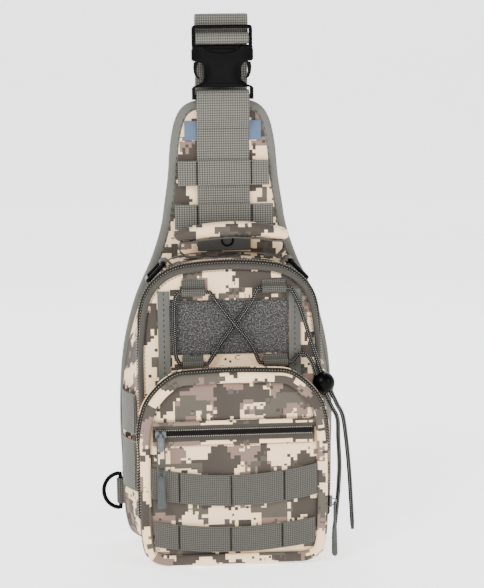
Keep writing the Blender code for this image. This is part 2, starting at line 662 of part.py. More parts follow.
def cord_a_route():
    """From the tail's end through the lock and the bottom right loop into the top left one."""
    out = Vector((0.004, 0.0, 0.0))
    return [
        Vector((0.0925, -0.0352, 0.0150)), Vector((0.0948, -0.0352, 0.0350)), Vector((0.0972, -0.0352, 0.0600)),
        Vector((0.0985, -0.0352, 0.0850)), Vector((0.0975, -0.0352, 0.1100)),
        lock_point(0.0360, -1), lock_point(0.0240, -1), lock_point(0.0120, -1), lock_point(0.0, -1),
        lock_point(-0.0110, -1), Vector((0.0738, -0.0335, 0.1820)), Vector((0.0690, -0.0300, 0.1880)),
        Vector((0.0630, -0.0260, 0.1880)), loop_core("bottom_right", 1) + out, loop_core("bottom_right", 1),
        loop_core("bottom_right", 0), loop_core("bottom_right", 0) - out,
        Vector((0.0190, -0.0250, 0.1990)), Vector((0.0050, -0.0272, 0.2165)), Vector((-0.0090, -0.0250, 0.2345)),
        loop_core("top_left", 1) + out, loop_core("top_left", 1), loop_core("top_left", 1) - out * 2,
    ]


def cord_b_route():
    """From the top left loop down the left side, bottom left, top right, the lock and its tail."""
    out = Vector((0.004, 0.0, 0.0))
    left = -0.0500
    return [
        loop_core("top_left", 1) - out * 2 - Vector((CLEAR, 0, 0)), loop_core("top_left", 0),
        Vector((-0.0478, LOOP_CORE_Y, 0.2450)),
        Vector((left, LOOP_CORE_Y, 0.2380)), Vector((left - 0.0005, LOOP_CORE_Y, 0.2150)),
        Vector((left, LOOP_CORE_Y, 0.1910)), Vector((-0.0480, LOOP_CORE_Y, 0.1842)),
        loop_core("bottom_left", 0), loop_core("bottom_left", 1), loop_core("bottom_left", 1) + out,
        Vector((-0.0090, LOOP_CORE_Y, 0.1985)), Vector((0.0050, LOOP_CORE_Y, 0.2165)),
        Vector((0.0190, LOOP_CORE_Y, 0.2350)), loop_core("top_right", 0) - out, loop_core("top_right", 0),
        loop_core("top_right", 1), loop_core("top_right", 1) + out,
        Vector((0.0640, -0.0240, 0.2330)), Vector((0.0722, -0.0275, 0.2060)), Vector((0.0785, -0.0330, 0.1850)),
        lock_point(-0.0110, 1), lock_point(0.0, 1), lock_point(0.0120, 1), lock_point(0.0240, 1),
        lock_point(0.0360, 1), Vector((0.1050, -0.0352, 0.1080)), Vector((0.1075, -0.0352, 0.0800)),
        Vector((0.1092, -0.0352, 0.0500)), Vector((0.1105, -0.0352, 0.0240)),
    ]


def build_cord():
    tube("bungee_cord_a", smooth_path(cord_a_route(), 0.0095), CORD / 2, CORD_BRAID)
    tube("bungee_cord_b", smooth_path(cord_b_route(), 0.0095), CORD / 2, CORD_BRAID)


def build_cord_lock():
    bm = bmesh.new()
    bmesh.ops.create_uvsphere(bm, u_segments=20, v_segments=12, radius=BALL / 2)
    bmesh.ops.translate(bm, verts=bm.verts, vec=BALL_CENTRE)
    ball = finish("cord_lock_ball", bm, PLASTIC, pivot=BALL_CENTRE)
    bore = CORD / 2 + CORD_FIT
    for number, sign in ((1, -1), (2, 1)):
        middle = BALL_CENTRE + TAIL_SIDE * STRAND * sign
        ring_a = around(middle - TAIL_RUN * 0.014, bore)
        ring_b = around(middle + TAIL_RUN * 0.014, bore)
        tool = loft(f"strand_cutter_{number}", [ring_a, ring_b], CAMO, closed=False)
        tool.hide_render = True
        tool.display_type = "WIRE"
        cut(ball, tool)
    centre = (BALL_CENTRE.x, BALL_CENTRE.z)
    rear = BALL_CENTRE.y + math.sqrt((BALL / 2) ** 2 - (PLUNGER_RADIUS + CLEAR) ** 2)
    socket = circle(centre, PLUNGER_RADIUS + CLEAR)
    cut(ball, cutter("socket_cutter", socket, "Y", BALL_CENTRE.y - 0.0070, rear + 0.004))
    plunger = prism(
        "cord_lock_plunger", circle(centre, PLUNGER_RADIUS), "Y", BALL_CENTRE.y - 0.0070 + PLUNGER_TRAVEL + CLEAR,
        rear + 0.0028, DARK_RUBBER, pivot=BALL_CENTRE,
    )
    window = []
    for along, y in ((-1, 0), (1, 0), (1, 1), (-1, 1)):
        low = BALL_CENTRE.y - bore
        high = BALL_CENTRE.y + bore + PLUNGER_TRAVEL
        window.append(BALL_CENTRE + TAIL_RUN * 0.008 * along + Vector((0, (low, high)[y] - BALL_CENTRE.y, 0)))
    side = TAIL_SIDE * (STRAND + bore)
    tool = loft("plunger_window", [[p - side for p in window], [p + side for p in window]], CAMO, closed=False)
    tool.hide_render = True
    tool.display_type = "WIRE"
    cut(plunger, tool)


def around(centre, radius):
    """A circle of points round the tails' direction."""
    return [
        centre + TAIL_SIDE * radius * math.cos(turn) + Vector((0, radius * math.sin(turn), 0))
        for turn in (2 * math.pi * i / 12 for i in range(12))
    ]


# ---------------------------------------------------------------- front pocket
SLASH_Z = POCKET_HEIGHT - 0.0550
SLASH_TAPE = 0.0160
MOLLE = {                 # lowest point, height and rise at its ends of each webbing
    "pocket_row_1": (0.0560, 0.0285, 0.0090),
    "pocket_row_2": (0.0130, 0.0235, 0.0070),
}


def build_pocket():
    rear = inset(POCKET, POCKET_DRAFT)
    wall_ring("pocket_gusset", rear, POCKET, POCKET_BACK, POCKET_FRONT, CAMO)
    arch_band(
        "pocket_zip_rear_tape", POCKET, 0.0, 0.007, HINGE_Z, POCKET_REAR_TAPE - TAPE, POCKET_REAR_TAPE, ZIP_TAPE,
    )
    arch_band(
        "pocket_zip_front_tape", POCKET, 0.0, 0.007, HINGE_Z, POCKET_FRONT_TAPE - TAPE, POCKET_FRONT_TAPE,
        ZIP_TAPE,
    )
    arch_band(
        "pocket_hinge_seam", POCKET, 0.0006, 0.006, HINGE_Z - 0.006, FLAP_BACK + CLEAR, POCKET_REAR_TAPE, CAMO,
        upper=False,
    )
    panel = prism("pocket_front_panel", inset(POCKET, POCKET_ROLL + CLEAR), "Y", FLAP_FRONT, FLAP_BACK, CAMO)
    inside = POCKET_WIDTH / 2 - POCKET_ROLL - CLEAR
    mouth = rect(-inside + 0.006, SLASH_Z - 0.0045, inside - 0.006, SLASH_Z + 0.0045)
    cut(panel, cutter("slash_cutter", mouth, "Y", FLAP_FRONT - 0.002, FLAP_BACK + 0.002))
    ring("pocket_piping", POCKET, POCKET_ROLL, ROLL_FRONT, FLAP_BACK, CAMO)
    frame = inset(POCKET, POCKET_ROLL + CLEAR)
    low, high = SLASH_Z - SLASH_TAPE / 2, SLASH_Z + SLASH_TAPE / 2
    reach = narrowest(frame, low, high) - CLEAR
    box("slash_zip", (-reach, ON_FLAP - TAPE, low), (reach, ON_FLAP, high), ZIP_TAPE)
    box(
        "slash_pocket_bag", (-inside + 0.010, FLAP_BACK + CLEAR, 0.0350),
        (inside - 0.010, FLAP_BACK + CLEAR + 0.0030, SLASH_Z + 0.0120), BINDING_TAPE,
    )
    for name, (low, height, smile) in MOLLE.items():
        reach = narrowest(frame, low + smile, low + smile + height) - CLEAR
        steps = [reach * (i / 6 - 1) for i in range(13)]
        lower = [(x, low + smile * (x / reach) ** 2) for x in steps]
        upper = [(x, z + height) for x, z in reversed(lower)]
        strip(name, "Y", lower + upper, ON_FLAP - WEB, ON_FLAP)


def strip(name, axis, section, low, high):
    """A curved webbing: one side of its section and then the other, as many points on each."""
    bm = bmesh.new()
    count = len(section)
    first = [bm.verts.new(place(axis, a, b, low)) for a, b in section]
    second = [bm.verts.new(place(axis, a, b, high)) for a, b in section]
    for i in range(count):
        j = (i + 1) % count
        bm.faces.new((first[i], first[j], second[j], second[i]))
    for i in range(count // 2 - 1):
        j = count - 1 - i
        bm.faces.new((first[i], first[j], first[j - 1], first[i + 1]))
        bm.faces.new((second[i], second[i + 1], second[j - 1], second[j]))
    return finish(name, bm, WEBBING)


# ---------------------------------------------------------------- zip sliders and their pulls
PULL_LOOP = 0.0285
PULL_GRIP = 0.0300
WIRE_PULL = 0.0014


def pull(name, hinge, axis_is_y, loop_half, loop, grip_top, grip_low, grip, look):
    """A wire loop hanging from the hinge point with a rubber grip; one closed piece."""
    x, y, z = hinge
    neck = z - loop

    def at(a, depth, level):
        return (x + depth, y + a, level) if axis_is_y else (x + a, y + depth, level)

    def section(half_a, half_d, level):
        turns = [2 * math.pi * i / 10 for i in range(10)]
        return [at(half_a * math.cos(t), half_d * math.sin(t), level) for t in turns]

    handle = loft(name, [
        section(grip_top, 0.0022, neck + 0.0015), section(grip_top + 0.0006, 0.0027, neck - 0.0030),
        section((grip_top + grip_low) / 2, 0.0025, neck - grip * 0.55), section(grip_low, 0.0030, neck - grip + 0.003),
        section(grip_low - 0.0010, 0.0022, neck - grip),
    ], look, closed=False, pivot=hinge)
    wires = [
        ("left", [at(-loop_half, 0, neck + 0.0002), at(-loop_half, 0, z)]),
        ("right", [at(loop_half, 0, neck + 0.0002), at(loop_half, 0, z)]),
    ]
    for side, (low, high) in wires:
        r = WIRE_PULL / 2
        low, high = Vector(low), Vector(high)
        corners = [(-r, -r), (r, -r), (r, r), (-r, r)]
        loops = [[p + Vector(at(a, d, 0)) - Vector(at(0, 0, 0)) for a, d in corners] for p in (low, high)]
        join(handle, loft(f"{name}_{side}_tool", loops, look, closed=False))
    r = WIRE_PULL / 2
    bar = [[Vector(at(a, d, z + h)) for d, h in ((-r, -r), (r, -r), (r, r), (-r, r))]
           for a in (-loop_half - r, loop_half + r)]
    join(handle, loft(f"{name}_bar_tool", bar, look, closed=False))
    return handle


SLASH_START = 0.0198 - POCKET_WIDTH / 2
MAIN_SLIDER_Z = 0.0960
POCKET_SLIDER_Z = 0.0560
SLIDER_LONG = 0.0100
SLIDER_WIDE = 0.0078
SLIDER_TALL = 0.0032
EYE = 0.0020              # height of the pull's bar over the slider


def build_sliders():
    front = ON_FLAP - TAPE - CLEAR
    hinge = (SLASH_START, front - SLIDER_TALL - EYE, SLASH_Z - 0.0010)
    body = box(
        "slash_slider", (SLASH_START - SLIDER_LONG / 2, front - SLIDER_TALL, SLASH_Z - SLIDER_WIDE / 2),
        (SLASH_START + SLIDER_LONG / 2, front, SLASH_Z + SLIDER_WIDE / 2), METAL,
    )
    arm = box(
        "slash_eye_tool", (SLASH_START - 0.0014, front - SLIDER_TALL - EYE - 0.0022, SLASH_Z - 0.0034),
        (SLASH_START + 0.0014, front - SLIDER_TALL + 0.001, SLASH_Z + 0.0028), METAL,
    )
    join(body, arm)
    eye = rect(hinge[1] - 0.0011, hinge[2] - 0.0011, hinge[1] + 0.0011, hinge[2] + 0.0011)
    cut(body, cutter("slash_eye_cutter", eye, "X", SLASH_START - 0.003, SLASH_START + 0.003))
    pull("slash_pull", hinge, False, 0.0034, PULL_LOOP + 0.0080, 0.0030, 0.0046, PULL_GRIP, RUBBER)
    for name, side, y, z, loop, grip, look in (
        ("main", FRONT_WIDTH / 2, REAR_TAPE - SLIDER_WIDE / 2, MAIN_SLIDER_Z, 0.0300, 0.0320, DARK_RUBBER),
        ("pocket", POCKET_WIDTH / 2, POCKET_REAR_TAPE - SLIDER_WIDE / 2, POCKET_SLIDER_Z, 0.0220, 0.0280, RUBBER),
    ):
        x = side + CLEAR
        body = box(
            f"{name}_slider", (x, y - SLIDER_WIDE / 2, z - SLIDER_LONG / 2),
            (x + SLIDER_TALL, y + SLIDER_WIDE / 2, z + SLIDER_LONG / 2), METAL,
        )
        reach = x + SLIDER_TALL + EYE
        arm = box(
            f"{name}_eye_tool", (x + SLIDER_TALL - 0.001, y - 0.0014, z - 0.0034),
            (reach + 0.0022, y + 0.0014, z + 0.0028), METAL,
        )
        join(body, arm)
        eye = rect(reach - 0.0011, z - 0.0021, reach + 0.0011, z + 0.0001)
        cut(body, cutter(f"{name}_eye_cutter", eye, "Y", y - 0.003, y + 0.003))
        pull(
            f"{name}_pull", (reach, y, z - 0.0010), True, 0.0034, loop, 0.0030,
            (0.0040, 0.0058)[name == "pocket"], grip, look,
        )


# ---------------------------------------------------------------- webbing, rings and handle on the gusset
SIDE_LOOPS = {            # side, lowest and highest point of each webbing loop on the gusset
    "left_lower": (-1, 0.0580, 0.1060),
    "left_upper": (-1, 0.1120, 0.1500),
    "right": (1, 0.1120, 0.1500),
}
SIDE_BULGE = 0.0032
TAB_Y = (-0.0020, 0.0220)
TAB_X = FRONT_WIDTH / 2 - 0.0250
RING_REACH = 0.0210
D_RING_Z = (0.0290, 0.0640)
D_RING_REACH = 0.0160
D_TAB = 0.0250


def build_side_webbing():
    y0, y1 = GUSSET_FRONT + 0.0040, GUSSET_BACK - 0.0030
    for loop_name, (sign, low, high) in SIDE_LOOPS.items():
        rear = half_width(GUSSET_REAR, low, high)
        front = half_width(MOUTH, low, high)
        inner, outer = [], []
        for step in range(9):
            share = step / 8
            y = y0 + (y1 - y0) * share
            wall = front + (rear - front) * (y - GUSSET_FRONT) / MAIN_DEPTH
            swell = SIDE_BULGE * math.sin(math.pi * share)
            inner.append((sign * (wall + CLEAR + swell), y))
            outer.append((sign * (wall + CLEAR + swell + WEB), y))
        strip(f"side_webbing_{loop_name}", "Z", inner + outer[::-1], low, high)


def ring_slope(start_x, start_z, sides):
    """The steepest slope at which a ring clears the gusset's shoulder at both of its sides."""
    for degrees in range(60, 0, -1):
        slope = math.radians(degrees)
        clear = True
        for step in range(1, 13):
            x = start_x + RING_REACH * math.cos(slope) * step / 12
            z = start_z - RING_REACH * math.sin(slope) * step / 12
            for ahead in (-0.002, 0.0, 0.002):
                ground = max(gusset_top(x + ahead, y) for y in sides)
                clear = clear and z - WIRE / 2 - 0.0020 > ground - abs(ahead) * 0.3
        if clear:
            return slope
    return 0.0


def build_top_rings():
    bore = WIRE / 2 + 0.0004
    half = bore + LOOP_WALL
    wide = (TAB_Y[1] - TAB_Y[0]) / 2 + WIRE / 2 + 0.0006
    middle_y = (TAB_Y[0] + TAB_Y[1]) / 2
    level = gusset_top(TAB_X - half, TAB_Y[1]) + half + CLEAR
    slope = ring_slope(TAB_X, level, (middle_y - wide, middle_y + wide))
    for side, sign in (("left", -1), ("right", 1)):
        along = Vector((sign * math.cos(slope), 0.0, -math.sin(slope)))
        pivot = Vector((sign * TAB_X, middle_y, level))
        x0, x1 = TAB_X - half - 0.0050, TAB_X + half
        section = []
        for step in range(6):
            x = x0 + (x1 - x0) * step / 5
            section.append((x, gusset_top(x, TAB_Y[1]) + CLEAR + 0.0002))
        section += [(x1, level + 0.0010), (TAB_X + 0.0022, level + half), (x0 + 0.0030, level + half)]
        section += [(x0, section[0][1] + 0.0030)]
        section = [(sign * x, z) for x, z in section]
        tab = prism(f"ring_tab_{side}", section, "Y", TAB_Y[0], TAB_Y[1], WEBBING)
        hole = circle((sign * TAB_X, level), bore)
        cut(tab, cutter(f"ring_tab_cutter_{side}", hole, "Y", TAB_Y[0] - 0.002, TAB_Y[1] + 0.002))
        corner = 0.0030
        path = []
        for centre_a, centre_w, first in (
            (RING_REACH - corner, wide - corner, 0), (corner, wide - corner, 90),
            (corner, -wide + corner, 180), (RING_REACH - corner, -wide + corner, 270),
        ):
            for step in range(3):
                angle = math.radians(first + 45 * step)
                a = centre_a + corner * math.cos(angle)
                w = centre_w + corner * math.sin(angle)
                path.append(pivot + along * a + Vector((0, w, 0)))
        tube(f"top_ring_{side}", path, WIRE / 2, PLASTIC, cyclic=True, pivot=pivot)


def build_bottom_ring():
    middle = (D_RING_Z[0] + D_RING_Z[1]) / 2
    low, high = middle - D_TAB / 2, middle + D_TAB / 2
    edge = half_width(BACK, low, high) + CLEAR
    bore = WIRE / 2 + 0.0004
    x = -(edge + LOOP_WALL + bore)
    y = (BINDING_FRONT + BACK_REAR_Y) / 2
    section = round_rect(x - bore - LOOP_WALL, y - bore - LOOP_WALL, -edge, y + bore + LOOP_WALL, 0.0018)
    prism("bottom_ring_tab", section, "Z", low, high, WEBBING, hole=circle((x, y), bore))
    pivot = Vector((x, y, middle))
    half = (D_RING_Z[1] - D_RING_Z[0]) / 2
    path = [pivot + Vector((0, 0, half)), pivot + Vector((0, 0, -half))]
    for step in range(1, 12):
        angle = math.pi * step / 12
        path.append(pivot + Vector((-D_RING_REACH * math.sin(angle), 0, -half * math.cos(angle))))
    tube("bottom_ring", path, WIRE / 2, PLASTIC, cyclic=True, pivot=pivot)


HANDLE_X = 0.0055
HANDLE_HALF = 0.0525
HANDLE_FOOT = 0.0400
HANDLE_TOP = BODY_HEIGHT + 0.0355
HANDLE_DROP = 0.0075      # how much lower the ends are than the middle
HANDLE_THICK = 0.0120
HANDLE_WIDE = 0.0250
HANDLE_Y = 0.0120


def build_handle():
    centre_z = HANDLE_TOP - HANDLE_THICK / 2
    foot_z = max(gusset_top(HANDLE_X + HANDLE_FOOT, HANDLE_Y), gusset_top(HANDLE_X - HANDLE_FOOT, HANDLE_Y))
    foot_z += 0.0028
    pivot = (HANDLE_X, HANDLE_Y, foot_z)
    loops = []
    for step in range(13):
        share = step / 6 - 1
        x = HANDLE_X + HANDLE_HALF * share
        lean = math.atan(-2 * HANDLE_DROP * share / HANDLE_HALF)
        z = centre_z - HANDLE_DROP * share * share
        taper = 0.80 if abs(share) == 1 else 1.0
        wide, thick = HANDLE_WIDE / 2 * taper, HANDLE_THICK / 2 * taper
        loop = []
        for turn in range(12):
            angle = 2 * math.pi * turn / 12
            rise = thick * math.sin(angle)
            loop.append((x - rise * math.sin(lean), HANDLE_Y + wide * math.cos(angle), z + rise * math.cos(lean)))
        loops.append(loop)
    loft("handle_pad", loops, CAMO, closed=False, pivot=pivot)
    under = centre_z - HANDLE_THICK / 2 - CLEAR - WEB / 2
    end_z = under - HANDLE_DROP
    right = [
        (HANDLE_FOOT - 0.0030, foot_z, 0.0030), (HANDLE_FOOT + 0.0040, foot_z + 0.0012, 0.0042),
        (HANDLE_HALF - 0.0050, foot_z + 0.35 * (end_z - foot_z), 0.0085),
        (HANDLE_HALF - 0.0030, foot_z + 0.72 * (end_z - foot_z), 0.0115),
        (HANDLE_HALF - 0.0080, under - 0.80 * HANDLE_DROP, 0.0115),
        (0.55 * HANDLE_HALF, under - 0.31 * HANDLE_DROP, 0.0115),
    ]
    spine = [(-x, z, wide) for x, z, wide in right] + [(0.0, under - 0.0003, 0.0115)] + right[::-1]
    loops = []
    for i, (x, z, wide) in enumerate(spine):
        before, after = spine[max(i - 1, 0)], spine[min(i + 1, len(spine) - 1)]
        length = math.hypot(after[0] - before[0], after[1] - before[1])
        nx, nz = -(after[1] - before[1]) / length * WEB / 2, (after[0] - before[0]) / length * WEB / 2
        loops.append([
            (HANDLE_X + x + nx, HANDLE_Y - wide, z + nz), (HANDLE_X + x + nx, HANDLE_Y + wide, z + nz),
            (HANDLE_X + x - nx, HANDLE_Y + wide, z - nz), (HANDLE_X + x - nx, HANDLE_Y - wide, z - nz),
        ])
    loft("handle_webbing", loops, WEBBING, closed=False, pivot=pivot)


# ---------------------------------------------------------------- the bag
def build():
    for old in list(bpy.data.objects):
        bpy.data.objects.remove(old, do_unlink=True)
    build_back()
    build_shoulder()
    build_buckle_female()
    build_buckle_male()
    build_strap()
    build_main()
    build_front_trim()
    build_cord()
    build_cord_lock()
    build_pocket()
    build_sliders()
    build_side_webbing()
    build_top_rings()
    build_bottom_ring()
    build_handle()


build()
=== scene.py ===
"""Sling bag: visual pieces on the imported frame, in metres, +Z up, front towards -Y."""

import json
import math

import bmesh
import bpy
from mathutils import Matrix, Vector, noise


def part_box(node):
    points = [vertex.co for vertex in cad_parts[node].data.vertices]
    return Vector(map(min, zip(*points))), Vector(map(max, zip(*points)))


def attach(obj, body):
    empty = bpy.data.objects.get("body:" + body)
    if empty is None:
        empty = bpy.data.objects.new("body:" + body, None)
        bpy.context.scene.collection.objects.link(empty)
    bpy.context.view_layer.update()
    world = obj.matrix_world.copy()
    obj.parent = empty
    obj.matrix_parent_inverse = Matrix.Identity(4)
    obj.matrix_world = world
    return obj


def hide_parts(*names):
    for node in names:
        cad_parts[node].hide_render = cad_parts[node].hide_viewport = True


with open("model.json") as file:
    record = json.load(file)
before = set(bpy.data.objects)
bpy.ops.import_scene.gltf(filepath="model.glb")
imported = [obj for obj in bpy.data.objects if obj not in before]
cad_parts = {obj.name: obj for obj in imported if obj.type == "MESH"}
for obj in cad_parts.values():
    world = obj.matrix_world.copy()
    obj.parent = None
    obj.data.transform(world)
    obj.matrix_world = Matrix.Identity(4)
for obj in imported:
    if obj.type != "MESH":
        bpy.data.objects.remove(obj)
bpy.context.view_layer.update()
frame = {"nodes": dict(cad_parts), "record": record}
X, Y, Z = Vector((1, 0, 0)), Vector((0, 1, 0)), Vector((0, 0, 1))


# ---------------------------------------------------------------- shader building
class Shade:
    """Builds one procedural material; sockets or plain values go in anywhere."""

    def __init__(self, name, roughness=0.8, metallic=0.0):
        self.material = bpy.data.materials.new(name)
        self.material.use_nodes = True
        self.tree = self.material.node_tree
        self.bsdf = self.tree.nodes["Principled BSDF"]
        self.set("Roughness", roughness)
        self.set("Metallic", metallic)
        self.set("Specular IOR Level", 0.5 if metallic else 0.2)

    def put(self, socket, value):
        if isinstance(value, bpy.types.NodeSocket):
            self.tree.links.new(value, socket)
        elif isinstance(value, tuple) and len(value) == 3 and socket.type == "RGBA":
            socket.default_value = (*value, 1.0)
        else:
            socket.default_value = value

    def set(self, name, value):
        self.put(self.bsdf.inputs[name], value)

    def node(self, kind, **settings):
        made = self.tree.nodes.new(kind)
        for key, value in settings.items():
            setattr(made, key, value)
        return made

    def coords(self, which="UV"):
        return self.node("ShaderNodeTexCoord").outputs[which]

    def axis(self, vector, index):
        split = self.node("ShaderNodeSeparateXYZ")
        self.put(split.inputs[0], vector)
        return split.outputs[index]

    def math(self, operation, a, b=0.0):
        made = self.node("ShaderNodeMath", operation=operation)
        for socket, value in zip(made.inputs, (a, b)):
            self.put(socket, value)
        return made.outputs[0]

    def vector(self, operation, a, b=(0.0, 0.0, 0.0)):
        made = self.node("ShaderNodeVectorMath", operation=operation)
        self.put(made.inputs[0], a)
        self.put(made.inputs[1], b)
        return made.outputs[0]

    def noise(self, vector, scale, detail=2.0, roughness=0.5):
        made = self.node("ShaderNodeTexNoise")
        for name, value in (
            ("Vector", vector), ("Scale", scale), ("Detail", detail), ("Roughness", roughness),
        ):
            self.put(made.inputs[name], value)
        return made.outputs["Fac"]

    def cells(self, vector):
        made = self.node("ShaderNodeTexWhiteNoise", noise_dimensions="3D")
        self.put(made.inputs["Vector"], vector)
        return made.outputs["Value"]

    def mix(self, share, a, b):
        made = self.node("ShaderNodeMix", data_type="RGBA")
        self.put(made.inputs["Factor"], share)
        self.put(made.inputs[6], a)
        self.put(made.inputs[7], b)
        return made.outputs[2]

    def step(self, value, low, high):
        made = self.node("ShaderNodeMapRange", interpolation_type="SMOOTHSTEP")
        for name, number in (("Value", value), ("From Min", low), ("From Max", high)):
            self.put(made.inputs[name], number)
        return made.outputs[0]

    def waves(self, value, pitch):
        """0 to 1 and back once for each pitch."""
        return self.math("ABSOLUTE", self.math("SINE", self.math("MULTIPLY", value, math.pi / pitch)))

    def bump(self, height, depth, strength=1.0, rounding=None):
        made = self.node("ShaderNodeBump")
        self.put(made.inputs["Height"], height)
        self.put(made.inputs["Distance"], depth)
        self.put(made.inputs["Strength"], strength)
        if rounding:
            edge = self.node("ShaderNodeBevel", samples=4)
            edge.inputs["Radius"].default_value = rounding
            self.put(made.inputs["Normal"], edge.outputs[0])
        self.set("Normal", made.outputs[0])

    def sheen(self, weight, roughness=0.5):
        self.set("Sheen Weight", 0.4 * weight)
        self.set("Sheen Roughness", roughness)


def weave_height(shade, vector, pitch):
    """A plain weave: threads cross over and under each other."""
    across, along = shade.axis(vector, 0), shade.axis(vector, 1)
    return shade.math("MULTIPLY", shade.waves(across, pitch), shade.waves(along, pitch))


CREAM = (1.0, 0.73, 0.44)
MAUVE = (0.195, 0.125, 0.098)
BROWN = (0.026, 0.020, 0.017)
OLIVE = (0.062, 0.053, 0.042)
PIXEL = 0.0030


def camo_material(name, coords="UV", shift=(0.0, 0.0, 0.0)):
    """Woven nylon printed with square-edged patches of four colours."""
    shade = Shade(name, 0.78)
    base = shade.coords(coords)
    if coords == "Object":
        flat = shade.node("ShaderNodeCombineXYZ")
        shade.put(flat.inputs[0], shade.axis(base, 0))
        shade.put(flat.inputs[1], shade.axis(base, 2))
        base = flat.outputs[0]
    place = shade.vector("ADD", base, shift)
    big = shade.vector("SNAP", place, (PIXEL * 1.6, PIXEL * 1.6, PIXEL))
    small = shade.vector("SNAP", place, (PIXEL, PIXEL, PIXEL))
    tiny = shade.vector("SNAP", shade.vector("ADD", place, (0.0007, 0.0004, 0.0)), (0.0022, 0.0022, 0.0022))
    scatter = shade.math("MULTIPLY", shade.math("SUBTRACT", shade.cells(small), 0.5), 0.035)
    patches = []
    for offset, threshold, grid, scale in (
        ((1.3, 0.2, 0.0), 0.535, big, 24.0), ((5.1, 3.7, 0.0), 0.525, small, 30.0),
        ((8.6, 7.9, 0.0), 0.575, big, 34.0),
    ):
        value = shade.noise(shade.vector("ADD", grid, offset), scale, 2.5, 0.55)
        value = shade.math("ADD", value, scatter)
        patches.append(shade.math("GREATER_THAN", value, threshold))
    colour = shade.mix(patches[0], CREAM, MAUVE)
    colour = shade.mix(patches[1], colour, BROWN)
    colour = shade.mix(patches[2], colour, OLIVE)
    dots = shade.math("GREATER_THAN", shade.cells(tiny), 0.985)
    near = shade.math("GREATER_THAN", shade.noise(place, 20.0, 1.0), 0.5)
    colour = shade.mix(shade.math("MULTIPLY", dots, near), colour, BROWN)
    thread = weave_height(shade, place, 0.00062)
    fade = shade.noise(place, 9.0, 3.0)
    dirty = shade.mix(shade.math("MULTIPLY", fade, 0.12), colour, (0.50, 0.42, 0.33))
    shade.set("Base Color", shade.mix(shade.math("MULTIPLY", thread, 0.14), dirty, (0.08, 0.07, 0.06)))
    shade.set("Roughness", shade.math("ADD", 0.68, shade.math("MULTIPLY", fade, 0.2)))
    shade.bump(thread, 0.00012, 0.6)
    shade.sheen(0.15)
    return shade.material


def webbing_material(name, light, dark, along=0.0023, across=0.0021, depth=0.00035, coords="UV"):
    """Heavy webbing: rows of raised stitches with dark gaps between."""
    shade = Shade(name, 0.82)
    place = shade.coords(coords)
    u, v = shade.axis(place, 0), shade.axis(place, 2 if coords == "Object" else 1)
    rows, columns = shade.waves(u, along), shade.waves(v, across)
    raised = shade.math("MULTIPLY", shade.math("POWER", rows, 0.7), shade.math("POWER", columns, 0.7))
    fibre = shade.noise(place, 2600.0, 2.0)
    wear = shade.noise(place, 45.0, 3.0)
    tone = shade.math("ADD", shade.step(raised, 0.10, 0.95), shade.math("MULTIPLY", fibre, 0.25))
    colour = shade.mix(shade.math("MINIMUM", tone, 1.0), dark, light)
    colour = shade.mix(shade.math("MULTIPLY", wear, 0.22), colour, tuple(0.6 * c for c in light))
    shade.set("Base Color", colour)
    shade.bump(shade.math("ADD", raised, shade.math("MULTIPLY", fibre, 0.3)), depth, 0.8)
    shade.sheen(0.2)
    return shade.material


def tape_material(name, colour, pitch=0.0009, contrast=0.3, ribs=None):
    """Thin woven tape, with optional ribs across its length."""
    shade = Shade(name, 0.74)
    place = shade.coords()
    u, v = shade.axis(place, 0), shade.axis(place, 1)
    lean = shade.math("ADD", u, v)
    thread = shade.math("MULTIPLY", shade.waves(lean, pitch), shade.waves(v, pitch))
    if ribs:
        thread = shade.math("MULTIPLY", thread, shade.waves(u, ribs))
    uneven = shade.noise(place, 60.0, 4.0)
    dark = tuple(c * (1.0 - contrast) for c in colour)
    tone = shade.math("ADD", shade.math("MULTIPLY", thread, 0.6), shade.math("MULTIPLY", uneven, 0.5))
    shade.set("Base Color", shade.mix(tone, dark, tuple(min(1.0, c * 1.15) for c in colour)))
    shade.bump(thread, 0.00018, 0.5)
    shade.sheen(0.2)
    return shade.material


def pile_material(name):
    """Loop pile of a badge field: charcoal with pale fibres."""
    shade = Shade(name, 0.95)
    place = shade.coords()
    fine = shade.noise(place, 800.0, 3.0, 0.7)
    tufts = shade.noise(place, 230.0, 3.0, 0.7)
    colour = shade.mix(shade.step(fine, 0.47, 0.60), (0.010, 0.010, 0.010), (0.120, 0.114, 0.108))
    colour = shade.mix(shade.step(tufts, 0.50, 0.68), colour, (0.020, 0.020, 0.020))
    shade.set("Base Color", colour)
    shade.bump(shade.math("ADD", fine, tufts), 0.0005, 0.9)
    shade.sheen(0.3, 0.7)
    return shade.material


def mesh_material(name):
    """Spacer mesh: dark net of round holes."""
    shade = Shade(name, 0.9)
    place = shade.coords()
    u, v = shade.axis(place, 0), shade.axis(place, 1)
    slant = shade.math("MULTIPLY", v, 1.7)
    first = shade.waves(shade.math("ADD", u, slant), 0.0036)
    second = shade.waves(shade.math("SUBTRACT", u, slant), 0.0036)
    hole = shade.step(shade.math("MULTIPLY", first, second), 0.45, 0.7)
    fibre = shade.noise(place, 900.0, 2.0)
    colour = shade.mix(hole, (0.050, 0.050, 0.048), (0.008, 0.008, 0.008))
    shade.set("Base Color", shade.mix(shade.math("MULTIPLY", fibre, 0.3), colour, (0.10, 0.10, 0.095)))
    shade.bump(shade.math("SUBTRACT", shade.math("MULTIPLY", fibre, 0.2), hole), 0.0007, 0.9)
    return shade.material


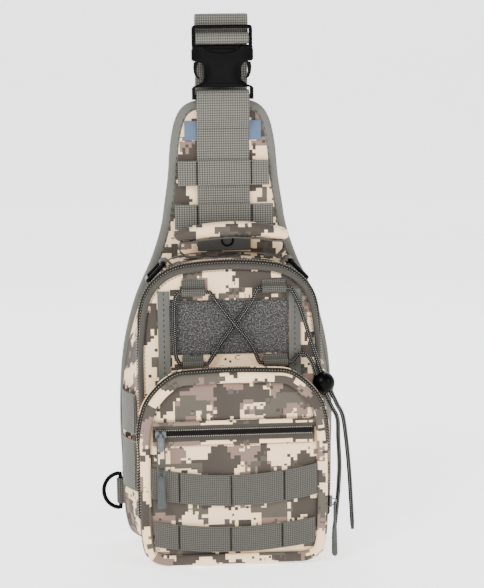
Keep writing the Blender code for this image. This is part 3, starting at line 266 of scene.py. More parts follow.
def plastic_material(name, colour=(0.0003, 0.0003, 0.0004), roughness=0.24, rounding=0.0006):
    """Moulded plastic with a fine spark-eroded texture and soft edges."""
    shade = Shade(name, roughness)
    place = shade.coords("Object")
    grain = shade.noise(place, 1800.0, 2.0)
    wear = shade.noise(place, 60.0, 3.0)
    shade.set("Base Color", shade.mix(shade.math("MULTIPLY", wear, 0.25), colour, (0.002, 0.002, 0.0022)))
    shade.set("Specular IOR Level", 0.06)
    shade.set("Roughness", shade.math("ADD", roughness, shade.math("MULTIPLY", wear, 0.16)))
    shade.bump(grain, 0.00004, 0.5, rounding)
    return shade.material


def rubber_material(name, colour):
    shade = Shade(name, 0.55)
    place = shade.coords("Object")
    grain = shade.noise(place, 1200.0, 3.0)
    dust = shade.noise(place, 90.0, 4.0)
    shade.set("Base Color", shade.mix(dust, tuple(0.75 * c for c in colour), tuple(1.2 * c for c in colour)))
    shade.set("Roughness", shade.math("ADD", 0.45, shade.math("MULTIPLY", dust, 0.25)))
    shade.bump(grain, 0.00008, 0.6, 0.0004)
    return shade.material


def metal_material(name, colour):
    shade = Shade(name, 0.38, 0.85)
    place = shade.coords("Object")
    scuffs = shade.noise(place, 260.0, 4.0)
    shade.set("Base Color", shade.mix(shade.step(scuffs, 0.5, 0.75), colour, tuple(2.0 * c for c in colour)))
    shade.set("Roughness", shade.math("ADD", 0.28, shade.math("MULTIPLY", scuffs, 0.25)))
    shade.bump(scuffs, 0.00006, 0.6, 0.0004)
    return shade.material


def braid_material(name):
    """Round braid: black strands with pale flecks in staggered columns."""
    shade = Shade(name, 0.62)
    place = shade.coords()
    u, v = shade.axis(place, 0), shade.axis(place, 1)
    column = shade.math("DIVIDE", v, math.pi * 0.0040 / 6)
    shift = shade.math("MULTIPLY", shade.math("FLOOR", column), 0.5)
    lean = shade.math("MULTIPLY", shade.math("PINGPONG", column, 1.0), 0.35)
    turn = shade.math("ADD", shade.math("ADD", shade.math("DIVIDE", u, 0.0019), shift), lean)
    across = shade.math("SINE", shade.math("MULTIPLY", shade.math("FRACT", column), math.pi))
    run = shade.math("SINE", shade.math("MULTIPLY", shade.math("FRACT", turn), math.pi))
    fleck = shade.step(shade.math("MULTIPLY", across, run), 0.76, 0.93)
    fibre = shade.noise(place, 3000.0, 2.0)
    pale = shade.mix(fibre, (0.24, 0.235, 0.22), (0.52, 0.51, 0.48))
    shade.set("Base Color", shade.mix(fleck, (0.0025, 0.0025, 0.0025), pale))
    shade.bump(shade.math("ADD", shade.math("MULTIPLY", across, run), fleck), 0.0003, 0.8)
    return shade.material


def thread_material(name, colour):
    shade = Shade(name, 0.6)
    twist = shade.noise(shade.coords("Object"), 2500.0, 1.0)
    shade.set("Base Color", shade.mix(twist, tuple(0.7 * c for c in colour), colour))
    shade.bump(twist, 0.0001, 0.5)
    return shade.material


CAMO = camo_material("camo")
CAMO_SIDE = camo_material("camo_side", shift=(0.31, 0.12, 0.0))
CAMO_TOP = camo_material("camo_pad", shift=(0.77, 0.45, 0.0))
CAMO_OBJECT = camo_material("camo_simulated", "Object", shift=(0.52, 0.93, 0.0))
WEBBING = webbing_material("grey_webbing", (0.165, 0.158, 0.137), (0.014, 0.014, 0.012))
MOLLE = webbing_material(
    "molle_webbing", (0.105, 0.100, 0.086), (0.013, 0.013, 0.011), 0.0017, 0.0017, 0.0003,
)
LOOP_WEB = webbing_material(
    "loop_webbing", (0.105, 0.100, 0.086), (0.011, 0.011, 0.010), 0.0019, 0.0017, 0.0004, "Object",
)
BINDING = tape_material("binding_tape", (0.120, 0.117, 0.102), 0.0010, 0.30)
PIPING = tape_material("piping_tape", (0.055, 0.050, 0.042), 0.0009, 0.30)
STRIP = tape_material("strip_tape", (0.105, 0.104, 0.092), 0.0008, 0.35, 0.0017)
BLUE = tape_material("blue_tape", (0.088, 0.128, 0.205), 0.0007, 0.25)
ZIP_TAPE = tape_material("zip_tape", (0.040, 0.034, 0.027), 0.0006, 0.30)
ZIP_BAND = tape_material("zip_band", (0.045, 0.040, 0.031), 0.0006, 0.30)
PILE = pile_material("loop_pile")
PATCH = rubber_material("patch_cloth", (0.075, 0.072, 0.067))
MESH = mesh_material("spacer_mesh")
PLASTIC = plastic_material("black_plastic")
BRAID = braid_material("cord_braid")
COIL = plastic_material("zip_coil", (0.010, 0.009, 0.008), 0.35, 0.0)
GREY_RUBBER = rubber_material("grey_rubber", (0.055, 0.060, 0.060))
DARK_RUBBER = rubber_material("dark_rubber", (0.012, 0.011, 0.010))
METAL = metal_material("slider_metal", (0.10, 0.105, 0.11))
DARK_THREAD = thread_material("dark_thread", (0.014, 0.013, 0.011))
GREY_THREAD = thread_material("grey_thread", (0.30, 0.285, 0.245))


# ---------------------------------------------------------------- meshes with UVs in metres
def piece(name, bm, look, body, slot, nodes=(), smooth=38.0, bevel=0.0):
    """Turns a bmesh into a visual piece on its body, in place of the nodes."""
    bmesh.ops.recalc_face_normals(bm, faces=bm.faces)
    data = bpy.data.meshes.new(name)
    bm.to_mesh(data)
    bm.free()
    made = bpy.data.objects.new(name, data)
    bpy.context.scene.collection.objects.link(made)
    data.materials.append(look)
    data.shade_smooth()
    data.set_sharp_from_angle(angle=math.radians(smooth))
    if bevel:
        edge = made.modifiers.new("edge", "BEVEL")
        edge.width = bevel
        edge.segments = 2
        edge.limit_method = "ANGLE"
        edge.angle_limit = math.radians(50)
    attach(made, body)
    if nodes:
        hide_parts(*nodes)
    return made


def skin(bm, loops, closed_u=False):
    """Skins equal loops of points and gives each face UVs in metres along and across."""
    layer = bm.loops.layers.uv.verify()
    rings = [[bm.verts.new(p) for p in loop] for loop in loops]
    count = len(rings[0])
    along = [0.0]
    for k in range(len(loops)):
        following = loops[(k + 1) % len(loops)]
        step = (Vector(loops[k][0]) - Vector(following[0])).length
        other = (Vector(loops[k][count // 2]) - Vector(following[count // 2])).length
        along.append(along[-1] + 0.5 * (step + other))
    middle = loops[len(loops) // 2]
    across = [0.0]
    for i in range(count):
        across.append(across[-1] + (Vector(middle[i]) - Vector(middle[(i + 1) % count])).length)
    spans = len(rings) if closed_u else len(rings) - 1
    for k in range(spans):
        second = rings[(k + 1) % len(rings)]
        for i in range(count):
            j = (i + 1) % count
            face = bm.faces.new((rings[k][i], rings[k][j], second[j], second[i]))
            corners = ((k, i), (k, i + 1), (k + 1, i + 1), (k + 1, i))
            for loop, (a, b) in zip(face.loops, corners):
                loop[layer].uv = (along[a], across[b])
    if not closed_u:
        for ring in (rings[0], list(reversed(rings[-1]))):
            bm.faces.new(ring)


PRESSURE = 4.0
LAST_STEP = 20


def evaluated(source):
    return source.evaluated_get(bpy.context.evaluated_depsgraph_get())


def puff(source, voxel, cap):
    """Inflates a closed piece by cloth simulation and keeps each point within a cap of where it was."""
    scene = bpy.context.scene
    remesh = source.modifiers.new("remesh", "REMESH")
    remesh.mode = "VOXEL"
    remesh.voxel_size = voxel
    data = bpy.data.meshes.new_from_object(evaluated(source))
    source.modifiers.clear()
    source.data = data
    start = [v.co.copy() for v in data.vertices]
    cloth = source.modifiers.new("cloth", "CLOTH")
    cloth.settings.use_pressure = True
    cloth.settings.uniform_pressure_force = PRESSURE
    cloth.settings.effector_weights.gravity = 0.0
    cloth.settings.quality = 6
    cloth.settings.mass = 0.3
    for step in range(1, LAST_STEP + 1):
        scene.frame_set(step)
    ends = [v.co.copy() for v in evaluated(source).to_mesh().vertices]
    evaluated(source).to_mesh_clear()
    source.modifiers.clear()
    for vertex, first, last in zip(data.vertices, start, ends):
        move = last - first
        if move.length > cap:
            move *= cap / move.length
        vertex.co = first + move
    data.shade_smooth()
    soft = source.modifiers.new("soft", "SUBSURF")
    soft.levels = 1
    soft.render_levels = 1
    scene.frame_set(1)


def loft(name, loops, look, body, slot, nodes=(), closed=False, **extra):
    bm = bmesh.new()
    skin(bm, loops, closed_u=closed)
    return piece(name, bm, look, body, slot, nodes, **extra)


def plate(name, point, nu, nv, thick, look, body, slot, nodes=(), bevel=0.0003, **extra):
    """A thin closed sheet: point(u, v) gives its face, thick the offset to its other face."""
    loops = []
    for a in range(nu + 1):
        row = [Vector(point(a / nu, b / nv)) for b in range(nv + 1)]
        rear = [p + (thick(a / nu, b / nv) if callable(thick) else Vector(thick)) for b, p in enumerate(row)]
        loops.append(row + rear[::-1])
    return loft(name, loops, look, body, slot, nodes, bevel=bevel, **extra)


def tangents_of(path, closed=False):
    """The direction of a path at each of its points."""
    count = len(path)
    made = []
    for i in range(count):
        before = path[i - 1] if closed or i else path[0]
        after = path[(i + 1) % count] if closed or i < count - 1 else path[-1]
        made.append((after - before).normalized())
    return made


def sweep(name, path, profile, look, body, slot, nodes=(), closed=False, **extra):
    """Sweeps a closed profile of (side, up) pairs along a path."""
    path = [Vector(p) for p in path]
    loops = []
    for point, tangent in zip(path, tangents_of(path, closed)):
        side = tangent.cross(Y).normalized()
        lift = side.cross(tangent).normalized()
        loops.append([point + side * a + lift * b for a, b in profile])
    return loft(name, loops, look, body, slot, nodes, closed=closed, **extra)


def disc(radius, count=12):
    angles = [2 * math.pi * i / count for i in range(count)]
    return [(radius * math.cos(angle), radius * math.sin(angle)) for angle in angles]


def cushioned(width, thick, power=4.0, count=24):
    """A rounded-rectangle profile."""
    points = []
    for i in range(count):
        angle = 2 * math.pi * i / count
        c, s = math.cos(angle), math.sin(angle)
        points.append((
            width / 2 * math.copysign(abs(c) ** (2 / power), c),
            thick / 2 * math.copysign(abs(s) ** (2 / power), s),
        ))
    return points


def tube_mesh(bm, path, radius, sides=10, closed=False):
    """A round tube with no twist along a free path."""
    path = [Vector(p) for p in path]
    tangents = tangents_of(path, closed)
    side = tangents[0].orthogonal().normalized()
    loops = []
    for k, (point, tangent) in enumerate(zip(path, tangents)):
        if k:
            side = (side - tangent * side.dot(tangent)).normalized()
        lift = tangent.cross(side)
        size = radius(k / (len(path) - 1)) if callable(radius) else radius
        loops.append([point + side * a + lift * b for a, b in disc(size, sides)])
    skin(bm, loops, closed_u=closed)


def tube(name, path, radius, look, body, slot, nodes=(), sides=10, closed=False, **extra):
    bm = bmesh.new()
    tube_mesh(bm, path, radius, sides, closed=closed)
    return piece(name, bm, look, body, slot, nodes, **extra)


def catmull(four, t):
    """A point between the middle two of four knots."""
    a, b, c, d = four
    return 0.5 * (
        2 * b + (c - a) * t + (2 * a - 5 * b + 4 * c - d) * t * t + (3 * b - a - 3 * c + d) * t ** 3
    )


def smooth_path(points, spacing):
    knots = [Vector(p) for p in points]
    knots = [2 * knots[0] - knots[1]] + knots + [2 * knots[-1] - knots[-2]]
    path = []
    for k in range(1, len(knots) - 2):
        steps = max(1, round((knots[k + 1] - knots[k]).length / spacing))
        path += [catmull(knots[k - 1: k + 3], step / steps) for step in range(steps)]
    return path + [knots[-2]]


def evenly(path, pitch):
    """Points and tangents at one pitch along a path."""
    ends = [Vector(p) for p in path]
    lengths = [(b - a).length for a, b in zip(ends, ends[1:])]
    total = sum(lengths)
    count = max(1, int(total / pitch))
    spots, k, start = [], 0, 0.0
    for i in range(count):
        wanted = (i + 0.5) * total / count
        while k < len(lengths) - 1 and start + lengths[k] < wanted:
            start += lengths[k]
            k += 1
        share = (wanted - start) / max(lengths[k], 1e-9)
        spots.append((ends[k].lerp(ends[k + 1], share), (ends[k + 1] - ends[k]).normalized()))
    return spots


def grain(bm, centre, along, across, length, width, height):
    """One stitch or zip tooth: a small closed spindle."""
    lift = along.cross(across).normalized()
    loops = []
    for share, size in ((-0.5, 0.35), (-0.28, 1.0), (0.28, 1.0), (0.5, 0.35)):
        middle = centre + along * length * share
        ring = []
        for i in range(6):
            angle = math.pi * i / 3
            offset = across * width / 2 * math.cos(angle) + lift * height / 2 * math.sin(angle)
            ring.append(middle + offset * size)
        loops.append(ring)
    skin(bm, loops)


def stitches(
    name, paths, body, slot, look=DARK_THREAD, pitch=0.0042, length=0.0027, thick=0.0007, normal=(0, 1, 0),
):
    """A sewn line along each path."""
    bm = bmesh.new()
    for path in paths:
        for centre, along in evenly(path, pitch):
            across = along.cross(Vector(normal)).normalized()
            grain(bm, centre, along, across, length, thick, thick)
    return piece(name, bm, look, body, slot)


# ---------------------------------------------------------------- outlines in the XZ plane
STEPS = 8


def mirrored(half):
    """A smooth closed outline from the knots of its right half, from the top round to the bottom."""
    knots = [Vector((-half[1][0], half[1][1]))] + [Vector(p) for p in half]
    knots.append(Vector((-half[-2][0], half[-2][1])))
    right = []
    for k in range(1, len(knots) - 2):
        for step in range(STEPS):
            point = catmull(knots[k - 1: k + 3], step / STEPS)
            right.append((point.x, max(point.y, 0.0)))
    right.append(half[-1])
    return right + [(-x, z) for x, z in reversed(right[1:-1])]


def size(node):
    """Half width and top of a node that is the same on both sides."""
    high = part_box(node)[1]
    return high.x, high.z


def foot_knots(half):
    """The lower right corner that both outlines of the main compartment share."""
    return [
        (half, 0.0500), (half - 0.0035, 0.0160), (half - 0.0120, 0.0045), (half - 0.0270, 0.0),
        (half - 0.0480, 0.0), (0.0, 0.0),
    ]


HIP, TOP = size("back_binding")
HALF, MOUTH_TOP = size("main_piping")
REAR_HALF, REAR_TOP = size("main_gusset")
POCKET_HALF, POCKET_TOP = size("pocket_piping")
NECK = 0.0520
GROW = HIP - NECK
RISE = TOP - MOUTH_TOP

BACK = mirrored([
    (0.0, TOP), (0.42 * NECK, TOP - 0.0020), (0.70 * NECK, TOP - 0.0080), (0.86 * NECK, TOP - 0.0215),
    (0.95 * NECK, TOP - 0.0440), (NECK, MOUTH_TOP + 0.510 * RISE),
    (NECK + 0.07 * GROW, MOUTH_TOP + 0.350 * RISE),
    (NECK + 0.15 * GROW, MOUTH_TOP + 0.193 * RISE), (NECK + 0.34 * GROW, MOUTH_TOP),
    (NECK + 0.69 * GROW, MOUTH_TOP - 0.0400), (NECK + 0.92 * GROW, MOUTH_TOP - 0.0870),
    (HIP, MOUTH_TOP - 0.1400), (HIP - 0.0010, 0.0800), (HIP - 0.0065, 0.0240), (HIP - 0.0200, 0.0055),
    (HIP - 0.0400, 0.0), (HIP - 0.0650, 0.0), (0.0, 0.0),
])
MOUTH = mirrored([
    (0.0, MOUTH_TOP), (HALF - 0.0520, MOUTH_TOP - 0.0018), (HALF - 0.0340, MOUTH_TOP - 0.0055),
    (HALF - 0.0210, MOUTH_TOP - 0.0130), (HALF - 0.0105, MOUTH_TOP - 0.0250),
    (HALF - 0.0045, MOUTH_TOP - 0.0420),
    (HALF - 0.0005, MOUTH_TOP - 0.0750), (HALF, MOUTH_TOP - 0.1150), *foot_knots(HALF),
])
REAR = mirrored([
    (0.0, REAR_TOP), (REAR_HALF - 0.0660, REAR_TOP - 0.0012), (REAR_HALF - 0.0470, REAR_TOP - 0.0058),
    (REAR_HALF - 0.0340, REAR_TOP - 0.0160), (REAR_HALF - 0.0235, REAR_TOP - 0.0340),
    (REAR_HALF - 0.0120, REAR_TOP - 0.0640), (REAR_HALF - 0.0040, REAR_TOP - 0.0980),
    (REAR_HALF, REAR_TOP - 0.1400), *foot_knots(REAR_HALF),
])
POCKET = mirrored([
    (0.0, POCKET_TOP), (POCKET_HALF - 0.0520, POCKET_TOP - 0.0010),
    (POCKET_HALF - 0.0350, POCKET_TOP - 0.0030),
    (POCKET_HALF - 0.0200, POCKET_TOP - 0.0130), (POCKET_HALF - 0.0085, POCKET_TOP - 0.0270),
    (POCKET_HALF - 0.0030, POCKET_TOP - 0.0420), (POCKET_HALF - 0.0003, POCKET_TOP - 0.0600),
    (POCKET_HALF, POCKET_TOP - 0.0800), (POCKET_HALF, 0.0450), (POCKET_HALF - 0.0030, 0.0145),
    (POCKET_HALF - 0.0105, 0.0045), (POCKET_HALF - 0.0240, 0.0), (POCKET_HALF - 0.0450, 0.0), (0.0, 0.0),
])


def inset(outline, amount):
    """An outline drawn in by an amount, or let out where the amount is negative."""
    count = len(outline)
    moved = []
    for i, (x, z) in enumerate(outline):
        ax, az = outline[i - 1]
        bx, bz = outline[(i + 1) % count]
        length = math.hypot(bx - ax, bz - az)
        moved.append((x + (bz - az) / length * amount, z - (bx - ax) / length * amount))
    return moved


def at_depth(outline, y):
    return [Vector((x, y, z)) for x, z in outline]


def above(outline, height, y):
    """The part of an outline above a height, from left to right over the top."""
    count = len(outline)
    keep = [z >= height for _, z in outline]
    first = next(i for i in range(count) if keep[i] and not keep[i - 1])
    order = []
    while keep[(first + len(order)) % count] and len(order) < count:
        order.append((first + len(order)) % count)
    return [Vector((outline[i][0], y, outline[i][1])) for i in order]


def edge_at(outline, z):
    """Half width of an outline at a height."""
    widest = 0.0
    for i, (bx, bz) in enumerate(outline):
        ax, az = outline[i - 1]
        if min(az, bz) <= z <= max(az, bz) and az != bz:
            widest = max(widest, ax + (bx - ax) * (z - az) / (bz - az))
    return widest


def ripple(x, z, scale, seed=0.0):
    """Smooth uneven value from -1 to 1 for cloth that isn't quite flat."""
    return noise.noise(Vector((x * scale, z * scale, seed)))


def pillow(name, outline, y_edge, y_rear, shape, look, body, slot, nodes, centre_z, rings):
    """A closed panel: its front follows shape(x, z, share) from the edge, 1, to the middle, 0."""
    count = len(outline)
    middle = Vector((0.0, centre_z))
    bm = bmesh.new()
    layer = bm.loops.layers.uv.verify()
    loops = []
    for ring in range(rings + 1):
        share = max(ring / rings, 0.02)
        row = []
        for x, z in outline:
            px, pz = middle.x + (x - middle.x) * share, middle.y + (z - middle.y) * share
            row.append(Vector((px, y_edge + shape(px, pz, share), pz)))
        loops.append(row)
    rear = [Vector((x, y_rear, z)) for x, z in outline]
    loops.append(rear)
    core = [(middle.x + (p.x - middle.x) * 0.5, middle.y + (p.z - middle.y) * 0.5) for p in rear]
    loops.append([Vector((x, y_rear, z)) for x, z in core])
    rows = [[bm.verts.new(p) for p in row] for row in loops]
    for k in range(len(rows) - 1):
        for i in range(count):
            j = (i + 1) % count
            bm.faces.new((rows[k][i], rows[k][j], rows[k + 1][j], rows[k + 1][i]))
    bm.faces.new(rows[0])
    bm.faces.new(list(reversed(rows[-1])))
    for face in bm.faces:
        for loop in face.loops:
            loop[layer].uv = (loop.vert.co.x, loop.vert.co.z)
    return piece(name, bm, look, body, slot, nodes)


# ---------------------------------------------------------------- camera, light and floor
CAMERA_AIM = Vector((0, 0, 0.245))
CAMERA_DISTANCE = 1.45


def build_camera():
    """Seen a little from the left and above."""
    azimuth, elevation, roll = math.radians(-4.0), math.radians(8.0), math.radians(-0.8)
    back = Vector((
        math.sin(azimuth) * math.cos(elevation), -math.cos(azimuth) * math.cos(elevation),
        math.sin(elevation),
    ))
    right = Z.cross(back).normalized()
    up = back.cross(right)
    right, up = (
        math.cos(roll) * right + math.sin(roll) * up, math.cos(roll) * up - math.sin(roll) * right,
    )
    data = bpy.data.cameras.new("camera")
    data.sensor_fit = "HORIZONTAL"
    data.sensor_width = 36.0
    data.lens = 116.7
    data.shift_x = 0.0299
    data.shift_y = -0.0083
    data.clip_end = 30.0
    made = bpy.data.objects.new("camera", data)
    turn = Matrix((right, up, back)).transposed().to_4x4()
    made.matrix_world = Matrix.Translation(CAMERA_AIM + back * CAMERA_DISTANCE) @ turn
    bpy.context.scene.collection.objects.link(made)
    bpy.context.scene.camera = made


def area_light(name, place, aim, width, power):
    data = bpy.data.lights.new(name, "AREA")
    data.shape = "RECTANGLE"
    data.size = width
    data.size_y = width * 0.8
    data.energy = power
    made = bpy.data.objects.new(name, data)
    made.location = place
    made.rotation_euler = (Vector(aim) - Vector(place)).to_track_quat("-Z", "Y").to_euler()
    bpy.context.scene.collection.objects.link(made)


def build_stage():
    area_light("key", (-1.3, -1.7, 1.9), (0, 0, 0.2), 1.1, 62.0)
    area_light("fill", (1.7, -1.5, 1.0), (0, 0, 0.2), 1.3, 26.0)
    area_light("front", (0.1, -2.6, 0.6), (0, 0, 0.2), 1.0, 12.0)
    area_light("rim", (0.2, 1.4, 1.6), (0, 0, 0.3), 1.0, 14.0)
    world = bpy.data.worlds.new("studio")
    world.use_nodes = True
    world.node_tree.nodes["Background"].inputs[0].default_value = (1.0, 1.0, 1.0, 1.0)
    world.node_tree.nodes["Background"].inputs[1].default_value = 0.70
    bpy.context.scene.world = world
    shade = Shade("floor", 0.9)
    shade.set("Base Color", (0.92, 0.92, 0.92))
    shade.set("Emission Color", (1.0, 1.0, 1.0))
    shade.set("Emission Strength", 1.5)
    bm = bmesh.new()
    reach, bend_y, bend = 9.0, 3.4, 1.6
    section = [(-reach, 0.0), (bend_y, 0.0)]
    section += [
        (bend_y + bend * math.sin(a), bend - bend * math.cos(a)) for a in (0.26 * i for i in range(1, 7))
    ]
    section += [(bend_y + bend, reach)]
    rows = [[bm.verts.new((x, y, z - 0.0004)) for x in (-reach, reach)] for y, z in section]
    for first, second in zip(rows, rows[1:]):
        bm.faces.new((first[0], first[1], second[1], second[0]))
    data = bpy.data.meshes.new("backdrop")
    bm.to_mesh(data)
    bm.free()
    data.materials.append(shade.material)
    data.shade_smooth()
    made = bpy.data.objects.new("backdrop", data)
    bpy.context.scene.collection.objects.link(made)


build_camera()
build_stage()


# ---------------------------------------------------------------- bungee cord and its lock
CORD = 0.0040
BALL = Vector((0.0842, -0.0352, 0.1624))
TAIL_RUN = Vector((0.42, 0.0, -0.9075)).normalized()
TAIL_SIDE = Vector((0.9075, 0.0, 0.42)).normalized()
STRAND = 0.0027
BALL_RADIUS = 0.0103
LIP_RADIUS = 0.0026
PLUNGER_RADIUS = 0.0060
LOOP_BORE = 0.0024
LOOPS = {
    place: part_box(f"cord_loop_{place}") for place in ("top_left", "top_right", "bottom_left", "bottom_right")
}
CORE_Y = -0.0227


def loop_core(place, end):
    low, high = LOOPS[place]
    return Vector(((low.x, high.x)[end], CORE_Y, low.z + 0.0012 + LOOP_BORE))


def lock_point(distance, sign):
    return BALL + TAIL_RUN * distance + TAIL_SIDE * STRAND * sign


def cord_a_route():
    """From inside the top left loop by the bottom right one, through the lock and down to the tail's end."""
    out = Vector((0.004, 0.0, 0.0))
    route = [
        Vector((0.0925, -0.0352, 0.0150)), Vector((0.0948, -0.0352, 0.0350)),
        Vector((0.0972, -0.0352, 0.0600)),
        Vector((0.0985, -0.0352, 0.0850)), Vector((0.0975, -0.0352, 0.1100)),
        lock_point(0.0360, -1), lock_point(0.0240, -1), lock_point(0.0120, -1), lock_point(0.0, -1),
        lock_point(-0.0110, -1), Vector((0.0738, -0.0335, 0.1820)), Vector((0.0690, -0.0300, 0.1880)),
        Vector((0.0630, -0.0260, 0.1880)), loop_core("bottom_right", 1) + out, loop_core("bottom_right", 1),
        loop_core("bottom_right", 0), loop_core("bottom_right", 0) - out,
        Vector((0.0190, -0.0250, 0.1990)), Vector((0.0050, -0.0272, 0.2165)),
        Vector((-0.0090, -0.0250, 0.2345)),
        loop_core("top_left", 1) + out, loop_core("top_left", 1), loop_core("top_left", 1) - out * 2,
    ]
    return route[::-1]


def cord_b_route():
    """From inside the top left loop down the left side, by bottom left and top right, to its tail's end."""
    out = Vector((0.004, 0.0, 0.0))
    left = -0.0500
    return [
        loop_core("top_left", 1) - out * 2 - Vector((0.0003, 0, 0)), loop_core("top_left", 0),
        Vector((-0.0478, CORE_Y, 0.2450)),
        Vector((left, CORE_Y, 0.2380)), Vector((left - 0.0005, CORE_Y, 0.2150)),
        Vector((left, CORE_Y, 0.1910)), Vector((-0.0480, CORE_Y, 0.1842)),
        loop_core("bottom_left", 0), loop_core("bottom_left", 1), loop_core("bottom_left", 1) + out,
        Vector((-0.0090, CORE_Y, 0.1985)), Vector((0.0050, CORE_Y, 0.2165)),
        Vector((0.0190, CORE_Y, 0.2350)), loop_core("top_right", 0) - out, loop_core("top_right", 0),
        loop_core("top_right", 1), loop_core("top_right", 1) + out,
        Vector((0.0640, -0.0240, 0.2330)), Vector((0.0722, -0.0275, 0.2060)),
        Vector((0.0785, -0.0330, 0.1850)),
        lock_point(-0.0110, 1), lock_point(0.0, 1), lock_point(0.0120, 1), lock_point(0.0240, 1),
        lock_point(0.0360, 1), Vector((0.1050, -0.0352, 0.1080)), Vector((0.1075, -0.0352, 0.0800)),
        Vector((0.1092, -0.0352, 0.0500)), Vector((0.1105, -0.0352, 0.0240)),
    ]


def path_length(path):
    return sum((b - a).length for a, b in zip(path, path[1:]))


def build_cords(ball, plunger):
    for name, route, extras in (
        ("bungee_a", cord_a_route(), (ball, plunger)), ("bungee_b", cord_b_route(), ()),
    ):
        path = smooth_path(route, 0.0030)
        end = 1.0 - 0.004 / path_length(path)

        def radius(share, end=end):
            return CORD / 2 * (1.0 if share < end else 0.80)

        made = tube(
            name, path, radius, BRAID, "front_panel", "cord_braid", (f"bungee_cord_{name[-1]}",), sides=14,
            smooth=60,
        )


def build_lock():
    """The ball of the cord lock: a mould seam round it and raised lips at the cord holes."""
    bm = bmesh.new()
    loops = []
    for k in range(1, 32):
        latitude = math.pi * (k / 32 - 0.5)
        groove = 0.00022 * math.exp(-(latitude / 0.035) ** 2)
        out = BALL_RADIUS - groove
        around = disc(out * math.cos(latitude), 48)
        loops.append([BALL + Vector((a, out * math.sin(latitude), b)) for a, b in around])
    skin(bm, loops)
    for sign in (-1, 1):
        for way in (-1, 1):
            centre = BALL + TAIL_SIDE * STRAND * sign + TAIL_RUN * way * 0.0094
            lip = [centre + TAIL_SIDE * a + Y * b for a, b in disc(LIP_RADIUS, 20)]
            tube_mesh(bm, lip, 0.0005, 8, closed=True)
    ball = piece("lock_ball", bm, PLASTIC, "cord_lock", "black_plastic", ("cord_lock_ball",), smooth=60)
    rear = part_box("cord_lock_plunger")[1].y
    middle = Vector((BALL.x, 0, BALL.z))
    loops = []
    for y, size_here in (
        (BALL.y + 0.0050, PLUNGER_RADIUS), (rear - 0.0030, PLUNGER_RADIUS), (rear - 0.0012, PLUNGER_RADIUS),
        (rear - 0.0003, 0.0054), (rear, 0.0045), (rear, 0.0025),
    ):
        loops.append([middle + Vector((a, y, b)) for a, b in disc(size_here, 24)])
    plunger = loft("plunger_cap", loops, DARK_RUBBER, "lock_plunger", "dark_rubber", ("cord_lock_plunger",))
    return ball, plunger


build_cords(*build_lock())


# ---------------------------------------------------------------- back panel and shoulder
BIND_FRONT, BIND_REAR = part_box("back_binding")[0].y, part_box("back_binding")[1].y
FACE_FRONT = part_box("back_face")[0].y


def back_shape(x, z, share):
    """Front of the padded panel: its edge is drawn in by the binding."""
    edge = 0.0008 * max(0.0, (share - 0.9) / 0.1) ** 2
    return edge + 0.0002 + 0.00025 * ripple(x, z, 38.0, 3.0)


def mesh_shape(x, z, share):
    """Rear of the padded panel, with sewn channels between raised pads."""
    edge = max(0.0, (share - 0.84) / 0.16) ** 2 * 0.0022
    channel = 0.0
    for line in (0.075, 0.150, 0.225, 0.300):
        level = line + 0.35 * abs(x)
        channel = max(channel, math.exp(-((z - level) / 0.0035) ** 2))
    channel = max(channel, math.exp(-(x / 0.0035) ** 2) * (1.0 if z < 0.30 else 0.0))
    return -(edge + 0.0022 * channel + 0.0003 * ripple(x, z, 30.0, 9.0))


def build_back():
    face = pillow(
        "shoulder_pad", inset(BACK, 0.0040), FACE_FRONT, FACE_FRONT + 0.0060, back_shape, CAMO_TOP,
        "pack_body", "camo_cloth", ("back_face", "back_core"), centre_z=0.17, rings=30,
    )
    rear = pillow(
        "back_mesh_pad", inset(BACK, 0.0040), BIND_REAR - 0.0005, FACE_FRONT + 0.0063, mesh_shape, MESH,
        "pack_body", "spacer_mesh", ("back_mesh",), centre_z=0.17, rings=60,
    )
    middle = (BIND_FRONT + BIND_REAR) / 2
    path = at_depth(inset(BACK, 0.0049), middle)
    sweep(
        "edge_binding", path, cushioned(0.0098, BIND_REAR - BIND_FRONT, 3.2), BINDING, "pack_body",
        "binding_tape", ("back_binding",), closed=True,
    )
    lines = [
        at_depth(inset(BACK, 0.0072), BIND_FRONT + 0.0002), at_depth(inset(BACK, 0.0072), BIND_REAR - 0.0002),
    ]
    stitches(
        "binding_stitches", lines, "pack_body", "binding_tape", pitch=0.0060, length=0.0030, thick=0.0006,
    )


def flat_band(name, node, look, body, slot, swell=0.0, waves=1, nu=24, nv=6, along="X"):
    """A webbing over the node's box, raised between its tacks."""
    low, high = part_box(node)
    depth = high.y - low.y

    def point(u, v):
        a = low.x + (high.x - low.x) * (u if along == "X" else v)
        b = low.z + (high.z - low.z) * (v if along == "X" else u)
        rise = swell * abs(math.sin(math.pi * waves * u)) + 0.0002 * ripple(a, b, 60.0, 5.0)
        return (a, low.y - rise, b)

    return plate(name, point, nu, nv, (0, depth, 0), look, body, slot, (node,))


def tacks(name, spots, body, front):
    """Bartacks: short dense rows of thread across a webbing, from (x, low, high)."""
    bm = bmesh.new()
    for x, low, high in spots:
        count = int((high - low) / 0.0006)
        for i in range(count):
            z = low + (high - low) * (i + 0.5) / count
            grain(bm, Vector((x, front, z)), Vector((1, 0, 0.15)).normalized(), Z, 0.0017, 0.0006, 0.0007)
    return piece(name, bm, DARK_THREAD, body, "grey_webbing")


